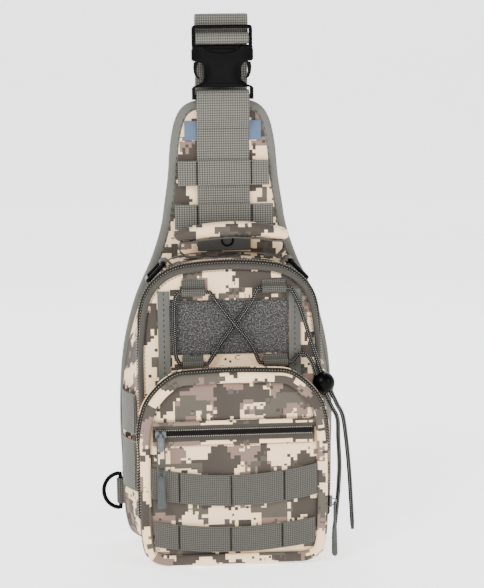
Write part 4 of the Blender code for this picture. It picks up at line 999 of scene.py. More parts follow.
def build_shoulder():
    flat_band("blue_strip", "shoulder_cross_strip", BLUE, "pack_body", "blue_grey_tape")
    for number in (1, 2):
        node = f"shoulder_row_{number}"
        low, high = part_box(node)
        flat_band(f"shoulder_molle_{number}", node, WEBBING, "pack_body", "grey_webbing", 0.0002, 3)
        spots = [(x, low.z + 0.0008, high.z - 0.0008) for x in (-0.0248, 0.0262)]
        tacks(f"shoulder_tacks_{number}", spots, "pack_body", low.y - 0.0004)
    low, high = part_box("cable_port_patch")

    def patch(u, v):
        x, z = low.x + (high.x - low.x) * u, low.z + (high.z - low.z) * v
        return (x, low.y + 0.0004 * (1 - math.sin(math.pi * u) ** 0.3), z)

    plate("port_patch", patch, 24, 8, (0, high.y - low.y - 0.0006, 0), PATCH, "pack_body", "dark_rubber",
          ("cable_port_patch",), bevel=0.0006)
    low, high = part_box("cable_port_ring")
    centre = (low + high) / 2
    radius = (high.x - low.x) / 2
    loops = []
    for i in range(32):
        turn = 2 * math.pi * i / 32
        ring = []
        for a, b in cushioned(0.0020, high.y - low.y, 3.0, 12):
            out = radius - 0.0010 + a
            ring.append(
                Vector((centre.x + out * math.cos(turn), centre.y + b, centre.z + out * math.sin(turn)))
            )
        loops.append(ring)
    loft("port_eyelet", loops, PLASTIC, "pack_body", "black_plastic", ("cable_port_ring",), closed=True)
    loops = []
    for y, share in (
        (centre.y, 0.86), (centre.y - 0.0006, 0.80), (centre.y - 0.0004, 0.50), (centre.y, 0.20),
    ):
        loops.append([Vector((centre.x + a, y, centre.z + b)) for a, b in disc(radius * share, 24)])
    loft("port_cover", loops, DARK_RUBBER, "pack_body", "dark_rubber")


def strap(name, path, body, nodes):
    """A flat strap with rounded selvedges along a path."""
    line = smooth_path(path, 0.003)
    loops = []
    for point, tangent in zip(line, tangents_of(line)):
        side = tangent.cross(Y)
        side = X if side.length < 0.2 else side.normalized()
        side = -side if side.x < 0 else side
        out = side.cross(tangent).normalized()
        loops.append([point + side * a + out * b for a, b in cushioned(WEB_WIDTH, WEB, 7.0, 32)])
    loft(name, loops, WEBBING, body, "grey_webbing", nodes, smooth=60)


# Strap and buckle: BAR is the socket's strap bar, BAR_2 the plug's; the two halves meet at SEAM.
WEB_WIDTH = 0.0492
WEB = 0.0015
BUCKLE_Y = 0.0295
BAR_Z = 0.4218
SEAM_Z = 0.4655
FOLD_Z = 0.4985
FRAME_TOP = 0.4875
BAR_2_Z = SEAM_Z + 0.0095
SPLIT_Z = 0.4400


def build_straps():
    """Three runs of strap: round the socket's bar, over the plug's, and down behind to a sewn end."""
    row_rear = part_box("shoulder_row_1")[1].y
    flat = row_rear + 0.0003 + WEB / 2
    bar = BUCKLE_Y
    path = [
        (bar + 0.0049, BAR_Z - 0.0140), (bar + 0.0049, BAR_Z - 0.0020), (bar + 0.0036, BAR_Z + 0.0045),
        (bar, BAR_Z + 0.0060), (bar - 0.0036, BAR_Z + 0.0045), (bar - 0.0048, BAR_Z - 0.0020),
        (bar - 0.0046, BAR_Z - 0.0100), (bar - 0.0010, BAR_Z - 0.0210), (flat - 0.0012, BAR_Z - 0.0290),
        (flat, BAR_Z - 0.0370), (flat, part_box("shoulder_webbing")[0].z),
    ]
    strap("pad_webbing", [(0.0, y, z) for y, z in path], "pack_body", ("shoulder_webbing",))
    behind = BIND_REAR - 0.0045
    front = BUCKLE_Y
    upper = [
        (behind, SPLIT_Z), (behind, 0.5 * (SPLIT_Z + FOLD_Z)), (behind, FOLD_Z - 0.0120),
        (behind - 0.0018, FOLD_Z - 0.0045), (0.5 * (behind + front) + 0.0025, FOLD_Z - 0.0008),
        (front + 0.0062, FOLD_Z - 0.0030), (front + 0.0050, FRAME_TOP + 0.0015),
        (front + 0.0046, FRAME_TOP - 0.0030), (front + 0.0042, BAR_2_Z + 0.0075),
        (front + 0.0020, BAR_2_Z + 0.0050), (front - 0.0030, BAR_2_Z + 0.0044),
        (front - 0.0050, BAR_2_Z + 0.0024), (front - 0.0053, BAR_2_Z), (front - 0.0050, BAR_2_Z - 0.0024),
        (front - 0.0030, BAR_2_Z - 0.0043), (front + 0.0030, BAR_2_Z - 0.0041),
    ]
    strap("strap_fold", [(0.0, y, z) for y, z in upper], "buckle_half", ("strap_upper",))
    rear = BIND_REAR + 0.0003 + WEB
    foot = (-HIP + 0.0430, 0.0480)
    lower = [
        (0.0, behind, SPLIT_Z), (0.0, behind + 0.0020, SPLIT_Z - 0.0070), (0.0, rear, SPLIT_Z - 0.0150),
    ]
    start = (0.0, SPLIT_Z - 0.0300)
    for share in (0.0, 0.10, 0.30, 0.60, 0.90, 1.0):
        lower.append((start[0] + share * (foot[0] - start[0]), rear, start[1] + share * (foot[1] - start[1])))
    strap("strap_back", lower, "pack_body", ("strap_lower",))
    run = (Vector((foot[0], 0, foot[1])) - Vector((start[0], 0, start[1]))).normalized()
    side = Vector((run.z, 0, -run.x))
    corner = Vector((foot[0], rear + 0.0010, foot[1])) - run * 0.004
    square = [
        corner + side * 0.021, corner - side * 0.021, corner - side * 0.021 - run * 0.034,
        corner + side * 0.021 - run * 0.034,
    ]
    lines = [[square[i], square[(i + 1) % 4]] for i in range(4)]
    lines += [[square[0], square[2]], [square[1], square[3]]]
    stitches("strap_box_stitch", lines, "pack_body", "grey_webbing", pitch=0.0036, length=0.0026)


build_back()
build_shoulder()
build_straps()


# ---------------------------------------------------------------- main compartment
GUSSET_LOW, GUSSET_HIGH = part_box("main_gusset")
REAR_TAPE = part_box("main_zip_rear_tape")
FRONT_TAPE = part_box("main_zip_front_tape")
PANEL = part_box("main_front_panel")
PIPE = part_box("main_piping")
HINGE_Z = 0.0450


def cloth_wall(name, rear, front, y_rear, y_front, sag, wall, look, body, slot, nodes, seed):
    """A gusset that sags between its two seams and creases a little near its corners."""
    depth = 14
    outer, inner = [], []
    rear_in, front_in = inset(rear, 1.0), inset(front, 1.0)
    for a in range(depth + 1):
        share = a / depth
        y = y_rear + (y_front - y_rear) * share
        ring, back = [], []
        for (rx, rz), (fx, fz), (rix, riz), (fix, fiz) in zip(rear, front, rear_in, front_in):
            x, z = rx + (fx - rx) * share, rz + (fz - rz) * share
            nx = (rix - rx) * (1 - share) + (fix - fx) * share
            nz = (riz - rz) * (1 - share) + (fiz - fz) * share
            free = math.sin(math.pi * share)
            turn = math.atan2(z - 0.12, x)
            crease = 0.5 + 0.5 * ripple(turn * 0.06, share * 0.01 + turn * 0.02, 90.0, seed)
            fine = 0.5 + 0.5 * ripple(x + z, y, 45.0, seed + 7.0)
            dip = free * (sag * (0.35 + 0.65 * crease) + 0.0005 * fine)
            if z < 0.004:
                dip = 0.0
            ring.append(Vector((x + nx * dip, y, z + nz * dip)))
            back.append(Vector((x + nx * (dip + wall), y, z + nz * (dip + wall))))
        outer.append(ring)
        inner.append(back)
    return loft(name, outer + inner[::-1], look, body, slot, nodes, closed=True, smooth=60)


def slide_top(slider, joint):
    """The height that a slider reaches: its zip lies flat up to there."""
    joints = frame["record"]["behaviour"]["joints"]
    reach = next(entry["range_m"][1] for entry in joints if entry["name"] == joint)
    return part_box(slider)[1].z + reach + 0.0010


MAIN_PROUD = 0.0036
POCKET_PROUD = 0.0020
SEAM_CORD = 0.0008
MAIN_CLEAR = slide_top("main_slider", "main_slider_slide")
POCKET_CLEAR = slide_top("pocket_slider", "pocket_slider_slide")


def swollen(outline, amount, low, high):
    """An outline that stands out by an amount, growing between two heights."""
    moved = inset(outline, -amount)
    grown = []
    for (x, z), (mx, mz) in zip(outline, moved):
        share = min(1.0, max(0.0, (z - low) / (high - low)))
        share = share * share * (3 - 2 * share)
        grown.append((x + (mx - x) * share, z + (mz - z) * share))
    return grown


def zip_band(name, inner, outer, y_inner, y_outer, body, node, look=ZIP_TAPE):
    """One side of a curved zip: a tape that slopes from one outline to the other."""
    a = above(inner, HINGE_Z, y_inner)
    b = above(outer, HINGE_Z, y_outer)
    c = above(inset(outer, 0.0012), HINGE_Z, y_outer)
    d = above(inset(inner, 0.0012), HINGE_Z, y_inner)
    count = min(len(a), len(b), len(c), len(d))
    loops = []
    for k in range(count):
        middle = (a[k] + b[k]) / 2 + (a[k] - d[k]).normalized() * 0.0002
        loops.append([a[k], middle, b[k], c[k], (c[k] + d[k]) / 2, d[k]])
    return loft(name, loops, look, body, "zip_tape", (node,), smooth=60)


def zip_teeth(name, outline, y, side, body, lean, pitch=0.0026, length=0.0022):
    """Coil turns and their sewn row along a curved zip's seam, seen from outside the outline."""
    bm = bmesh.new()
    thread = bmesh.new()
    path = above(outline, HINGE_Z, y)
    for centre, along in evenly(path, pitch):
        out = along.cross(Y).normalized()
        out = -out if out.dot(Vector((centre.x, 0, centre.z - 0.10))) < 0 else out
        across = (Vector((0, side, 0)) + out * lean * side).normalized()
        shift = along * (pitch / 4 * side)
        grain(bm, centre + shift + across * 0.0006, across, along, length, 0.0011, 0.0013)
        grain(thread, centre - shift + across * 0.0017 + out * 0.0003, along, across, 0.0013, 0.0006, 0.0006)
    piece(f"{name}_thread", thread, GREY_THREAD, body, "zip_tape")
    return piece(name, bm, COIL, body, "zip_tape")


def seam_strip(name, outline, node, body, look):
    """The cloth hinge along an outline's lower part, up to its node's top."""
    low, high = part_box(node)
    count = len(outline)
    lower = [i for i in range(count) if outline[i][1] < high.z]
    first = next(i for i in lower if (i - 1) % count not in lower)
    thin = inset(outline, 0.0035)
    spots = [thin[(first + k) % count] for k in range(len(lower))]
    path = [Vector((x, (low.y + high.y) / 2, max(0.0008, z))) for x, z in spots]
    return sweep(
        name, path, cushioned(0.0050, high.y - low.y - 0.0004, 3.0, 16), look, body, "camo_cloth", (node,),
    )


def panel_shape(x, z, share):
    edge = max(0.0, (share - 0.93) / 0.07) ** 2 * 0.0014
    return edge + 0.0006 * (0.5 + 0.5 * ripple(x, z, 22.0, 1.0)) + 0.00015 * ripple(x, z, 90.0, 2.0)


def build_main():
    """The main compartment: gusset, zip, hinge, front panel, and the piping round its mouth."""
    proud, half_proud = (
        swollen(MOUTH, amount, MAIN_CLEAR, MAIN_CLEAR + 0.040) for amount in (MAIN_PROUD, MAIN_PROUD / 2)
    )
    cloth_wall(
        "gusset_cloth", REAR, proud, GUSSET_HIGH.y, GUSSET_LOW.y, 0.0030, 0.0016, CAMO_SIDE, "pack_body",
        "camo_cloth", ("main_gusset",), 4.0,
    )
    seam = (REAR_TAPE[0].y + FRONT_TAPE[1].y) / 2
    zip_band(
        "main_zip_rear", half_proud, proud, seam + 0.00015, REAR_TAPE[1].y, "pack_body",
        "main_zip_rear_tape", ZIP_BAND,
    )
    zip_band(
        "main_zip_front", inset(MOUTH, 0.0008), half_proud, FRONT_TAPE[0].y, seam - 0.00015, "front_panel",
        "main_zip_front_tape", ZIP_BAND,
    )
    zip_teeth("main_coil_rear", half_proud, seam, 1, "pack_body", 0.9)
    zip_teeth("main_coil_front", half_proud, seam, -1, "front_panel", 0.9)
    seam_strip("main_hinge_cloth", MOUTH, "main_hinge_seam", "pack_body", CAMO_SIDE)
    pillow(
        "front_cloth", inset(MOUTH, 0.0046), PANEL[0].y, PANEL[1].y, panel_shape, CAMO, "front_panel",
        "camo_cloth", ("main_front_panel",), centre_z=0.13, rings=34,
    )
    width = PIPE[1].y - PIPE[0].y
    sweep(
        "mouth_piping", at_depth(inset(MOUTH, 0.0026), (PIPE[0].y + PIPE[1].y) / 2),
        cushioned(0.0050, width, 2.3, 20), PIPING, "front_panel", "binding_tape", ("main_piping",),
        closed=True,
    )
    line = above(inset(MOUTH, 0.0062), 0.03, PANEL[0].y + 0.0004)
    stitches(
        "piping_stitches", [line], "front_panel", "binding_tape", pitch=0.0036, length=0.0024, thick=0.0005,
    )
    seam_line = [
        Vector((x, GUSSET_HIGH.y - 0.0004, z)) for x, z in inset(REAR, -0.0002)
    ]
    tube("gusset_seam", seam_line, SEAM_CORD, BINDING, "pack_body", "binding_tape", sides=8, closed=True)


def build_front_trim():
    low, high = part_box("loop_panel")

    def pile(u, v):
        x, z = low.x + (high.x - low.x) * u, low.z + (high.z - low.z) * v
        near = min(u, 1 - u) * (high.x - low.x), min(v, 1 - v) * (high.z - low.z)
        sewn = math.exp(-(min(near) / 0.0018) ** 2)
        return (x, low.y + 0.0008 * sewn - 0.0002 * ripple(x, z, 300.0, 6.0), z)

    plate("loop_field", pile, 90, 44, lambda u, v: Vector((0, 0.0006, 0)), PILE, "front_panel", "loop_pile",
          ("loop_panel",), bevel=0.0)
    rim = [
        Vector((x, low.y + 0.0004, z)) for x, z in (
            (low.x + 0.0015, low.z + 0.0015), (high.x - 0.0015, low.z + 0.0015),
            (high.x - 0.0015, high.z - 0.0015), (low.x + 0.0015, high.z - 0.0015),
            (low.x + 0.0015, low.z + 0.0015),
        )
    ]
    stitches(
        "loop_field_stitches", [rim], "front_panel", "loop_pile", pitch=0.0030, length=0.0021, thick=0.0005,
    )
    for side in ("left", "right"):
        node = f"front_strip_{side}"
        low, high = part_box(node)
        flat_band(f"strip_{side}", node, STRIP, "front_panel", "grey_webbing", 0.0, 1, 30, 6, along="Z")
        middle = (low.x + high.x) / 2
        line = [Vector((middle, low.y - 0.0002, low.z)), Vector((middle, low.y - 0.0002, high.z))]
        stitches(f"strip_stitches_{side}", [line], "front_panel", "grey_webbing", pitch=0.0046, length=0.0024)
    for place in LOOPS:
        build_cord_loop(place)


def build_cord_loop(place):
    """A folded webbing tunnel: round over the cord, flat where its two layers are sewn down."""
    node = f"cord_loop_{place}"
    low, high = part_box(node)
    core_z = low.z + 0.0012 + LOOP_BORE
    radius = CORE_Y - low.y
    rear = high.y
    outer = []
    for i in range(17):
        angle = math.radians(-100 + 250 * i / 16)
        outer.append((CORE_Y - radius * math.cos(angle), core_z + radius * math.sin(angle)))
    outer.append((rear - 0.0008, high.z - 0.0010))
    outer.append((rear, high.z - 0.0004))
    outer.append((rear, low.z + 0.0004))
    bore = LOOP_BORE - 0.0002
    hole = []
    for i in range(len(outer)):
        if i < 17:
            angle = math.radians(-100 + 250 * i / 16)
        else:
            angle = math.radians(150 + 110 * (i - 16) / 4)
        hole.append((CORE_Y - bore * math.cos(angle), core_z + bore * math.sin(angle)))
    bm = bmesh.new()
    count = 14
    loops = []
    for k in range(count + 1):
        x = low.x + (high.x - low.x) * k / count
        sag = 0.00025 * ripple(x, core_z, 200.0, 8.0)
        loops.append([Vector((x, y - sag, z)) for y, z in outer])
    for k in range(count, -1, -1):
        x = low.x + (high.x - low.x) * k / count
        loops.append([Vector((x, y, z)) for y, z in hole])
    skin(bm, loops, closed_u=True)
    return piece(f"webbing_loop_{place}", bm, LOOP_WEB, "front_panel", "grey_webbing", (node,), smooth=50)


build_main()
build_front_trim()


# ---------------------------------------------------------------- front pocket
POCKET_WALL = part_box("pocket_gusset")
POCKET_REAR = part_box("pocket_zip_rear_tape")
POCKET_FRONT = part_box("pocket_zip_front_tape")
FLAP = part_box("pocket_front_panel")
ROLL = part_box("pocket_piping")
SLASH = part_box("slash_zip")
ON_FLAP = SLASH[1].y


def flap_shape(x, z, share):
    """The pocket's cloth: slack above the zip, pulled in along the zip and between the webbings."""
    zip_z = (SLASH[0].z + SLASH[1].z) / 2
    edge = max(0.0, (share - 0.90) / 0.10) ** 2 * 0.0022
    under = 0.0022 * math.exp(-((z - zip_z) / 0.009) ** 2)
    soft = 0.0011 * (0.5 + 0.5 * ripple(x, z, 26.0, 12.0))
    soft += 0.0005 * (0.5 + 0.5 * ripple(x + 0.8 * z, 0.3 * z, 75.0, 16.0))
    return edge + under + soft + 0.00015 * ripple(x, z, 110.0, 13.0)


def slash_cloth(name, z0, z1, bulge, look, slot, seed):
    """A folded lip of cloth along the slash zip."""
    reach = SLASH[1].x

    def point(u, v):
        x = -reach + 2 * reach * u
        z = z0 + (z1 - z0) * v + 0.0006 * ripple(x, 0.0, 30.0, seed)
        return (x, ON_FLAP - 0.0004 - bulge * math.sin(math.pi * v) ** 0.7, z)

    return plate(name, point, 60, 10, (0, 0.0006, 0), look, "pocket_front", slot, bevel=0.0)


def build_slash():
    """The slash zip: tape, a black sheet of painted shade behind the coil, coil, folded lips and their
    stitching.
    """
    low, high = SLASH
    middle = (low.z + high.z) / 2
    reach = high.x

    def tape(u, v):
        x, z = -reach + 2 * reach * u, low.z + (high.z - low.z) * v
        dip = 0.0006 * math.exp(-((z - middle) / 0.0030) ** 2)
        return (x, low.y + 0.0006 + dip + 0.0002 * ripple(x, z, 40.0, 14.0), z)

    plate(
        "slash_tape", tape, 60, 24, (0, 0.0006, 0), ZIP_BAND, "pocket_front", "zip_tape", ("slash_zip",),
        bevel=0.0,
    )

    # Painted shade: a black sheet behind the coil and out past its stitched rows, standing in for the shadow
    # in the zip's groove and under its lips.
    def painted_shade(u, v):
        return (-reach + 0.001 + 2 * (reach - 0.001) * u, low.y + 0.0004, middle + 0.0036 * (v - 0.5) * 2)

    plate("slash_painted_shade", painted_shade, 40, 4, (0, 0.0003, 0), COIL, "pocket_front", "zip_tape", bevel=0.0)
    bm = bmesh.new()
    for row, offset in ((0.0009, 0.0), (-0.0009, 0.5)):
        ends = [Vector((side * (reach - 0.002), low.y + 0.0001, middle + row)) for side in (-1, 1)]
        for centre, along in evenly(ends, 0.0014):
            grain(bm, centre + along * 0.0014 * offset, Z, along, 0.0022, 0.0008, 0.0010)
    piece("slash_coil", bm, COIL, "pocket_front", "zip_tape")
    slash_cloth("slash_lip_top", high.z - 0.0020, high.z + 0.0022, 0.0012, CAMO, "camo_cloth", 21.0)
    slash_cloth("slash_lip_low", low.z - 0.0036, low.z + 0.0012, 0.0012, CAMO, "camo_cloth", 22.0)
    slash_cloth("slash_band_low", low.z + 0.0008, low.z + 0.0040, 0.0008, ZIP_BAND, "zip_tape", 23.0)
    lines = [
        [Vector((side * (reach - 0.001), ON_FLAP - 0.0001, high.z + 0.0036)) for side in (-1, 1)],
        [Vector((-reach + 0.001 + 0.0024 * k, ON_FLAP - 0.0001, low.z - 0.0048 + 0.0010 * (k % 2)))
         for k in range(int((2 * reach - 0.002) / 0.0024))],
    ]
    stitches("slash_stitches", lines, "pocket_front", "zip_tape", pitch=0.0024, length=0.0020, thick=0.0005)
    fine = [
        [Vector((side * (reach - 0.002), low.y + 0.0001, middle + rise)) for side in (-1, 1)]
        for rise in (0.0029, -0.0029)
    ]
    stitches("slash_tape_stitches", fine, "pocket_front", "zip_tape", GREY_THREAD, 0.0019, 0.0012, 0.0011)


def molle_row(name, node, smile, spots):
    """Webbing sewn down at its tacks, bowed out between them."""
    low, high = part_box(node)
    reach = high.x
    height = high.z - low.z - smile
    stops = [-reach] + list(spots) + [reach]

    def rise(x):
        for a, b in zip(stops, stops[1:]):
            if a <= x <= b:
                return 0.0009 * math.sin(math.pi * (x - a) / (b - a)) ** 0.6
        return 0.0

    def point(u, v):
        x = -reach + 2 * reach * u
        return (x, low.y - rise(x), low.z + smile * (x / reach) ** 2 + height * v)

    plate(name, point, 72, 8, (0, high.y - low.y, 0), MOLLE, "pocket_front", "grey_webbing", (node,))
    tall = []
    for x in spots:
        base = low.z + smile * (x / reach) ** 2
        tall.append((x, base + 0.0008, base + height - 0.0008))
    tacks(f"{name}_tacks", tall, "pocket_front", low.y - 0.0003)


def build_pocket():
    """The front pocket: wall, zip, hinge, cloth, roll, webbings, and the bag behind the slash zip."""
    proud, half_proud = (
        swollen(POCKET, amount, POCKET_CLEAR, POCKET_CLEAR + 0.030)
        for amount in (POCKET_PROUD, POCKET_PROUD / 2)
    )
    cloth_wall(
        "pocket_wall_cloth", inset(POCKET, 0.0045), proud, POCKET_WALL[1].y, POCKET_WALL[0].y, 0.0020, 0.0016,
        CAMO_SIDE, "front_panel", "camo_cloth", ("pocket_gusset",), 17.0,
    )
    seam = (POCKET_REAR[0].y + POCKET_FRONT[1].y) / 2
    zip_band(
        "pocket_zip_rear", half_proud, proud, seam + 0.00015, POCKET_REAR[1].y, "front_panel",
        "pocket_zip_rear_tape",
    )
    zip_band(
        "pocket_zip_front", inset(POCKET, 0.0020), half_proud, POCKET_FRONT[0].y, seam - 0.00015,
        "pocket_front",
        "pocket_zip_front_tape",
    )
    zip_teeth("pocket_coil_rear", half_proud, seam, 1, "front_panel", 0.6)
    zip_teeth("pocket_coil_front", half_proud, seam, -1, "pocket_front", 0.9)
    edge = above(proud, HINGE_Z, POCKET_WALL[0].y)
    tube("pocket_seam_cord", edge, SEAM_CORD, CAMO, "front_panel", "camo_cloth", sides=8)
    seam_strip("pocket_hinge_cloth", POCKET, "pocket_hinge_seam", "front_panel", CAMO_SIDE)
    pillow(
        "pocket_cloth", inset(POCKET, 0.0085), FLAP[0].y, FLAP[1].y, flap_shape, CAMO, "pocket_front",
        "camo_cloth", ("pocket_front_panel",), centre_z=0.085, rings=40,
    )
    roll = ROLL[1].y - ROLL[0].y
    sweep(
        "pocket_roll", at_depth(inset(POCKET, 0.0060), (ROLL[0].y + ROLL[1].y) / 2),
        cushioned(0.0094, roll, 2.3, 24), CAMO_TOP, "pocket_front", "camo_cloth", ("pocket_piping",),
        closed=True,
    )
    line = at_depth(inset(POCKET, 0.0100), FLAP[0].y - 0.0001)
    stitches(
        "roll_stitches", [line + [line[0]]], "pocket_front", "camo_cloth", pitch=0.0034, length=0.0022,
        thick=0.0005,
    )
    build_slash()
    molle_row("pocket_molle_1", "pocket_row_1", 0.0090, (-0.0500, -0.0030, 0.0450))
    molle_row("pocket_molle_2", "pocket_row_2", 0.0070, (-0.0510, -0.0040, 0.0430))
    low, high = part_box("slash_pocket_bag")

    def lining(u, v):
        x, z = low.x + (high.x - low.x) * u, low.z + (high.z - low.z) * v
        return (x, high.y - 0.0008 - 0.0006 * ripple(x, z, 40.0, 15.0), z)

    plate("slash_lining", lining, 30, 24, (0, -0.0008, 0), PIPING, "pocket_front", "binding_tape",
          ("slash_pocket_bag",), bevel=0.0)


build_pocket()


# ---------------------------------------------------------------- zip pulls
def grip_loops(hinge, top, low, wide_top, wide_low, thick, sideways):
    """A moulded grip: waisted above, flared at the bottom, with shallow ribs."""
    x, y, _ = hinge
    loops = []
    for k in range(25):
        share = k / 24
        z = top + (low - top) * share
        body = wide_top + (wide_low - wide_top) * share ** 2.2
        ridge = 0.5 + 0.5 * math.cos(share * 2 * math.pi * 7)
        ribs = 1.0 - 0.05 * ridge * (1 if 0.25 < share < 0.85 else 0)
        ends = min(1.0, 0.55 + 6.0 * share, 0.62 + 7.0 * (1 - share))
        a, d = body * ribs * ends, thick * (0.85 + 0.25 * share) * ends
        ring = []
        for i in range(20):
            turn = 2 * math.pi * i / 20
            p, q = a * math.cos(turn), d * math.sin(turn)
            ring.append(Vector((x + q, y + p, z)) if sideways else Vector((x + p, y + q, z)))
        loops.append(ring)
    return loops


def build_pull(name, node, look, slot, sideways, grip, wide_top, wide_low, tab):
    """Cord loop from the slider's eye into a moulded grip; the grip's own end is the node's lowest point."""
    low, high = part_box(node)
    hinge = ((low.x + high.x) / 2, (low.y + high.y) / 2, high.z - 0.0007)
    bm = bmesh.new()
    top = low.z + grip
    skin(bm, grip_loops(hinge, top, low.z, wide_top, wide_low, 0.0026, sideways))
    reach = 0.0034
    line = []
    for share, spread in (
        (0.0, 0.30), (0.12, 0.75), (0.35, 1.0), (0.65, 1.0), (0.88, 0.9), (0.97, 0.72), (1.0, 0.0),
    ):
        z = top - 0.003 + (hinge[2] - top + 0.003) * share
        line.append((spread * reach, z))
    full = [(-a, z) for a, z in line] + [(a, z) for a, z in reversed(line[:-1])]
    path = []
    for a, z in full:
        across, deep = (0.0, a) if sideways else (a, 0.0)
        path.append(Vector((hinge[0] + across, hinge[1] + deep, z)))
    tube_mesh(bm, smooth_path(path, 0.0012), 0.0007, 8)
    made = piece(name, bm, look, node.replace("pull", "pull_body"), slot, (node,), smooth=60)
    if tab:
        bm = bmesh.new()
        loops = []
        for k in range(9):
            share = k / 8
            z = hinge[2] - 0.0012 - 0.0130 * share
            width = 0.0022 + 0.0007 * math.sin(math.pi * share)
            section = cushioned(2 * width, 0.0013, 4.0, 12)
            loops.append([Vector((hinge[0] + a, hinge[1] - 0.0003 + b, z)) for a, b in section])
        skin(bm, loops)
        piece(f"{name}_tab", bm, METAL, node.replace("pull", "pull_body"), "slider_metal", smooth=50)
    return made


def build_slider(name, node, body, facing):
    """A zip slider: domed cover, waist and arched bridge over the pull's bar."""
    low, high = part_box(node)
    centre = (low + high) / 2
    bm = bmesh.new()
    loops = []
    if facing == "front":
        base, long_axis, wide = high.y, (high.x - low.x) / 2, 0.0039
    else:
        base, long_axis, wide = low.x, (high.z - low.z) / 2, (high.y - low.y) / 2
    for k in range(17):
        share = k / 16 * 2 - 1
        narrow = wide * (0.82 + 0.18 * abs(share) ** 1.5) * min(1.0, 0.55 + 3.0 * (1 - abs(share)))
        ring = []
        for a, b in cushioned(2 * narrow, 0.0030, 3.0, 16):
            lift = 0.0016 + b
            if facing == "front":
                ring.append(Vector((centre.x + share * long_axis, base - lift, centre.z - 0.0001 + a)))
            else:
                ring.append(Vector((base + lift, centre.y + a, centre.z + share * long_axis)))
        loops.append(ring)
    skin(bm, loops)
    away = Vector((0, -1, 0)) if facing == "front" else X
    across = Vector((away.y, -away.x, 0))
    foot = Vector((centre.x, base, 0)) if facing == "front" else Vector((base, centre.y, 0))
    foot += away * 0.0024 + Vector((0, 0, centre.z - 0.0003))
    loops = []
    for k in range(17):
        turn = math.pi * k / 16
        arm = away * math.sin(turn) + Vector((0, 0, 0.67 * math.cos(turn)))
        loops.append([foot + arm * (0.0045 + b) + across * a for a, b in cushioned(0.0026, 0.0011, 3.0, 12)])
    skin(bm, loops)
    return piece(name, bm, METAL, body, "slider_metal", (node,), smooth=50)


build_slider("slash_slider_cover", "slash_slider", "slash_slider_body", "front")
build_slider("main_slider_cover", "main_slider", "main_slider_body", "side")
build_slider("pocket_slider_cover", "pocket_slider", "pocket_slider_body", "side")
build_pull("slash_pull_grip", "slash_pull", GREY_RUBBER, "grey_rubber", False, 0.030, 0.0032, 0.0046, True)
build_pull("main_pull_grip", "main_pull", DARK_RUBBER, "dark_rubber", True, 0.032, 0.0030, 0.0041, False)
build_pull("pocket_pull_grip", "pocket_pull", GREY_RUBBER, "grey_rubber", True, 0.028, 0.0030, 0.0058, False)


# ---------------------------------------------------------------- side webbing, rings and handle
def build_side_webbing():
    """Webbings sewn down at both ends and bowed out between them."""
    for place in ("left_lower", "left_upper", "right"):
        node = f"side_webbing_{place}"
        low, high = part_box(node)
        sign = 1 if place == "right" else -1
        rear_x, front_x = edge_at(REAR, (low.z + high.z) / 2), edge_at(MOUTH, (low.z + high.z) / 2)
        y0, y1 = low.y, high.y

        def point(u, v, sign=sign, low=low, high=high, y0=y0, y1=y1):
            y = y0 + (y1 - y0) * u
            z = low.z + (high.z - low.z) * v
            share = (y - GUSSET_LOW.y) / (GUSSET_HIGH.y - GUSSET_LOW.y)
            wall = front_x + (rear_x - front_x) * share
            return (sign * (wall + 0.0020 + 0.0032 * math.sin(math.pi * u)), y, z)

        plate(
            f"side_band_{place}", point, 24, 10, (-sign * 0.0014, 0, 0), WEBBING, "pack_body",
            "grey_webbing", (node,),
        )
        lines = []
        for u in (0.035, 0.965):
            a, b = Vector(point(u, 0.04)), Vector(point(u, 0.96))
            lines.append([a + Vector((sign * 0.0001, 0, 0)), b + Vector((sign * 0.0001, 0, 0))])
        stitches(f"side_tacks_{place}", lines, "pack_body", "grey_webbing", pitch=0.0012, length=0.0010,
                 thick=0.0012, normal=(1, 0, 0))


def ring_path(pivot, along, reach, wide, corner=0.0040):
    path = []
    for centre_a, centre_w, first in (
        (reach - corner, wide - corner, 0), (corner, wide - corner, 90),
        (corner, -wide + corner, 180), (reach - corner, -wide + corner, 270),
    ):
        for step in range(7):
            angle = math.radians(first + 15 * step)
            a = centre_a + corner * math.cos(angle)
            w = centre_w + corner * math.sin(angle)
            path.append(pivot + along * a + Vector((0, w, 0)))
    return path


def dense(path, spacing):
    """A closed path with points no further apart than a spacing, nearly."""
    ends = path + [path[0]]
    made = []
    for a, b in zip(ends, ends[1:]):
        steps = max(1, int((b - a).length / spacing))
        made += [a.lerp(b, k / steps) for k in range(steps)]
    return made


RING_WIRE = 0.0040
FOLD_RADIUS = 0.0030


def build_rings():
    for joint in frame["record"]["behaviour"]["joints"]:
        if joint["name"] in ("left_ring_swing", "right_ring_swing"):
            side = joint["name"].split("_")[0]
            node = f"top_ring_{side}"
            low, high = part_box(node)
            pivot = Vector(joint["pos_m"])
            far = Vector(((high.x if side == "right" else low.x), pivot.y, low.z))
            inner = Vector((RING_WIRE / 2, 0, 0)) * (1 if side == "right" else -1)
            along = (far - inner + Vector((0, 0, RING_WIRE / 2)) - pivot)
            reach, wide = 0.0210, (high.y - low.y) / 2 - RING_WIRE / 2
            path = dense(ring_path(pivot, along.normalized(), reach, wide, 0.0030), 0.002)
            tube(
                f"square_ring_{side}", path, RING_WIRE / 2, PLASTIC, joint["child"], "black_plastic",
                (node,), 14, True, smooth=60,
            )
            build_tab(side, pivot)
        if joint["name"] == "hip_ring_swing":
            pivot = Vector(joint["pos_m"])
            low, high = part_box("bottom_ring")
            half = (high.z - low.z) / 2 - RING_WIRE / 2
            depth = pivot.x - low.x - RING_WIRE / 2
            path = [pivot + Vector((0, 0, half)), pivot + Vector((0, 0, -half))]
            for step in range(1, 24):
                angle = math.pi * step / 24
                path.append(pivot + Vector((-depth * math.sin(angle), 0, -half * math.cos(angle))))
            tube(
                "d_ring", dense(path, 0.003), RING_WIRE / 2, PLASTIC, joint["child"], "black_plastic",
                ("bottom_ring",), 14, True, smooth=60,
            )
            build_hip_tab(pivot)


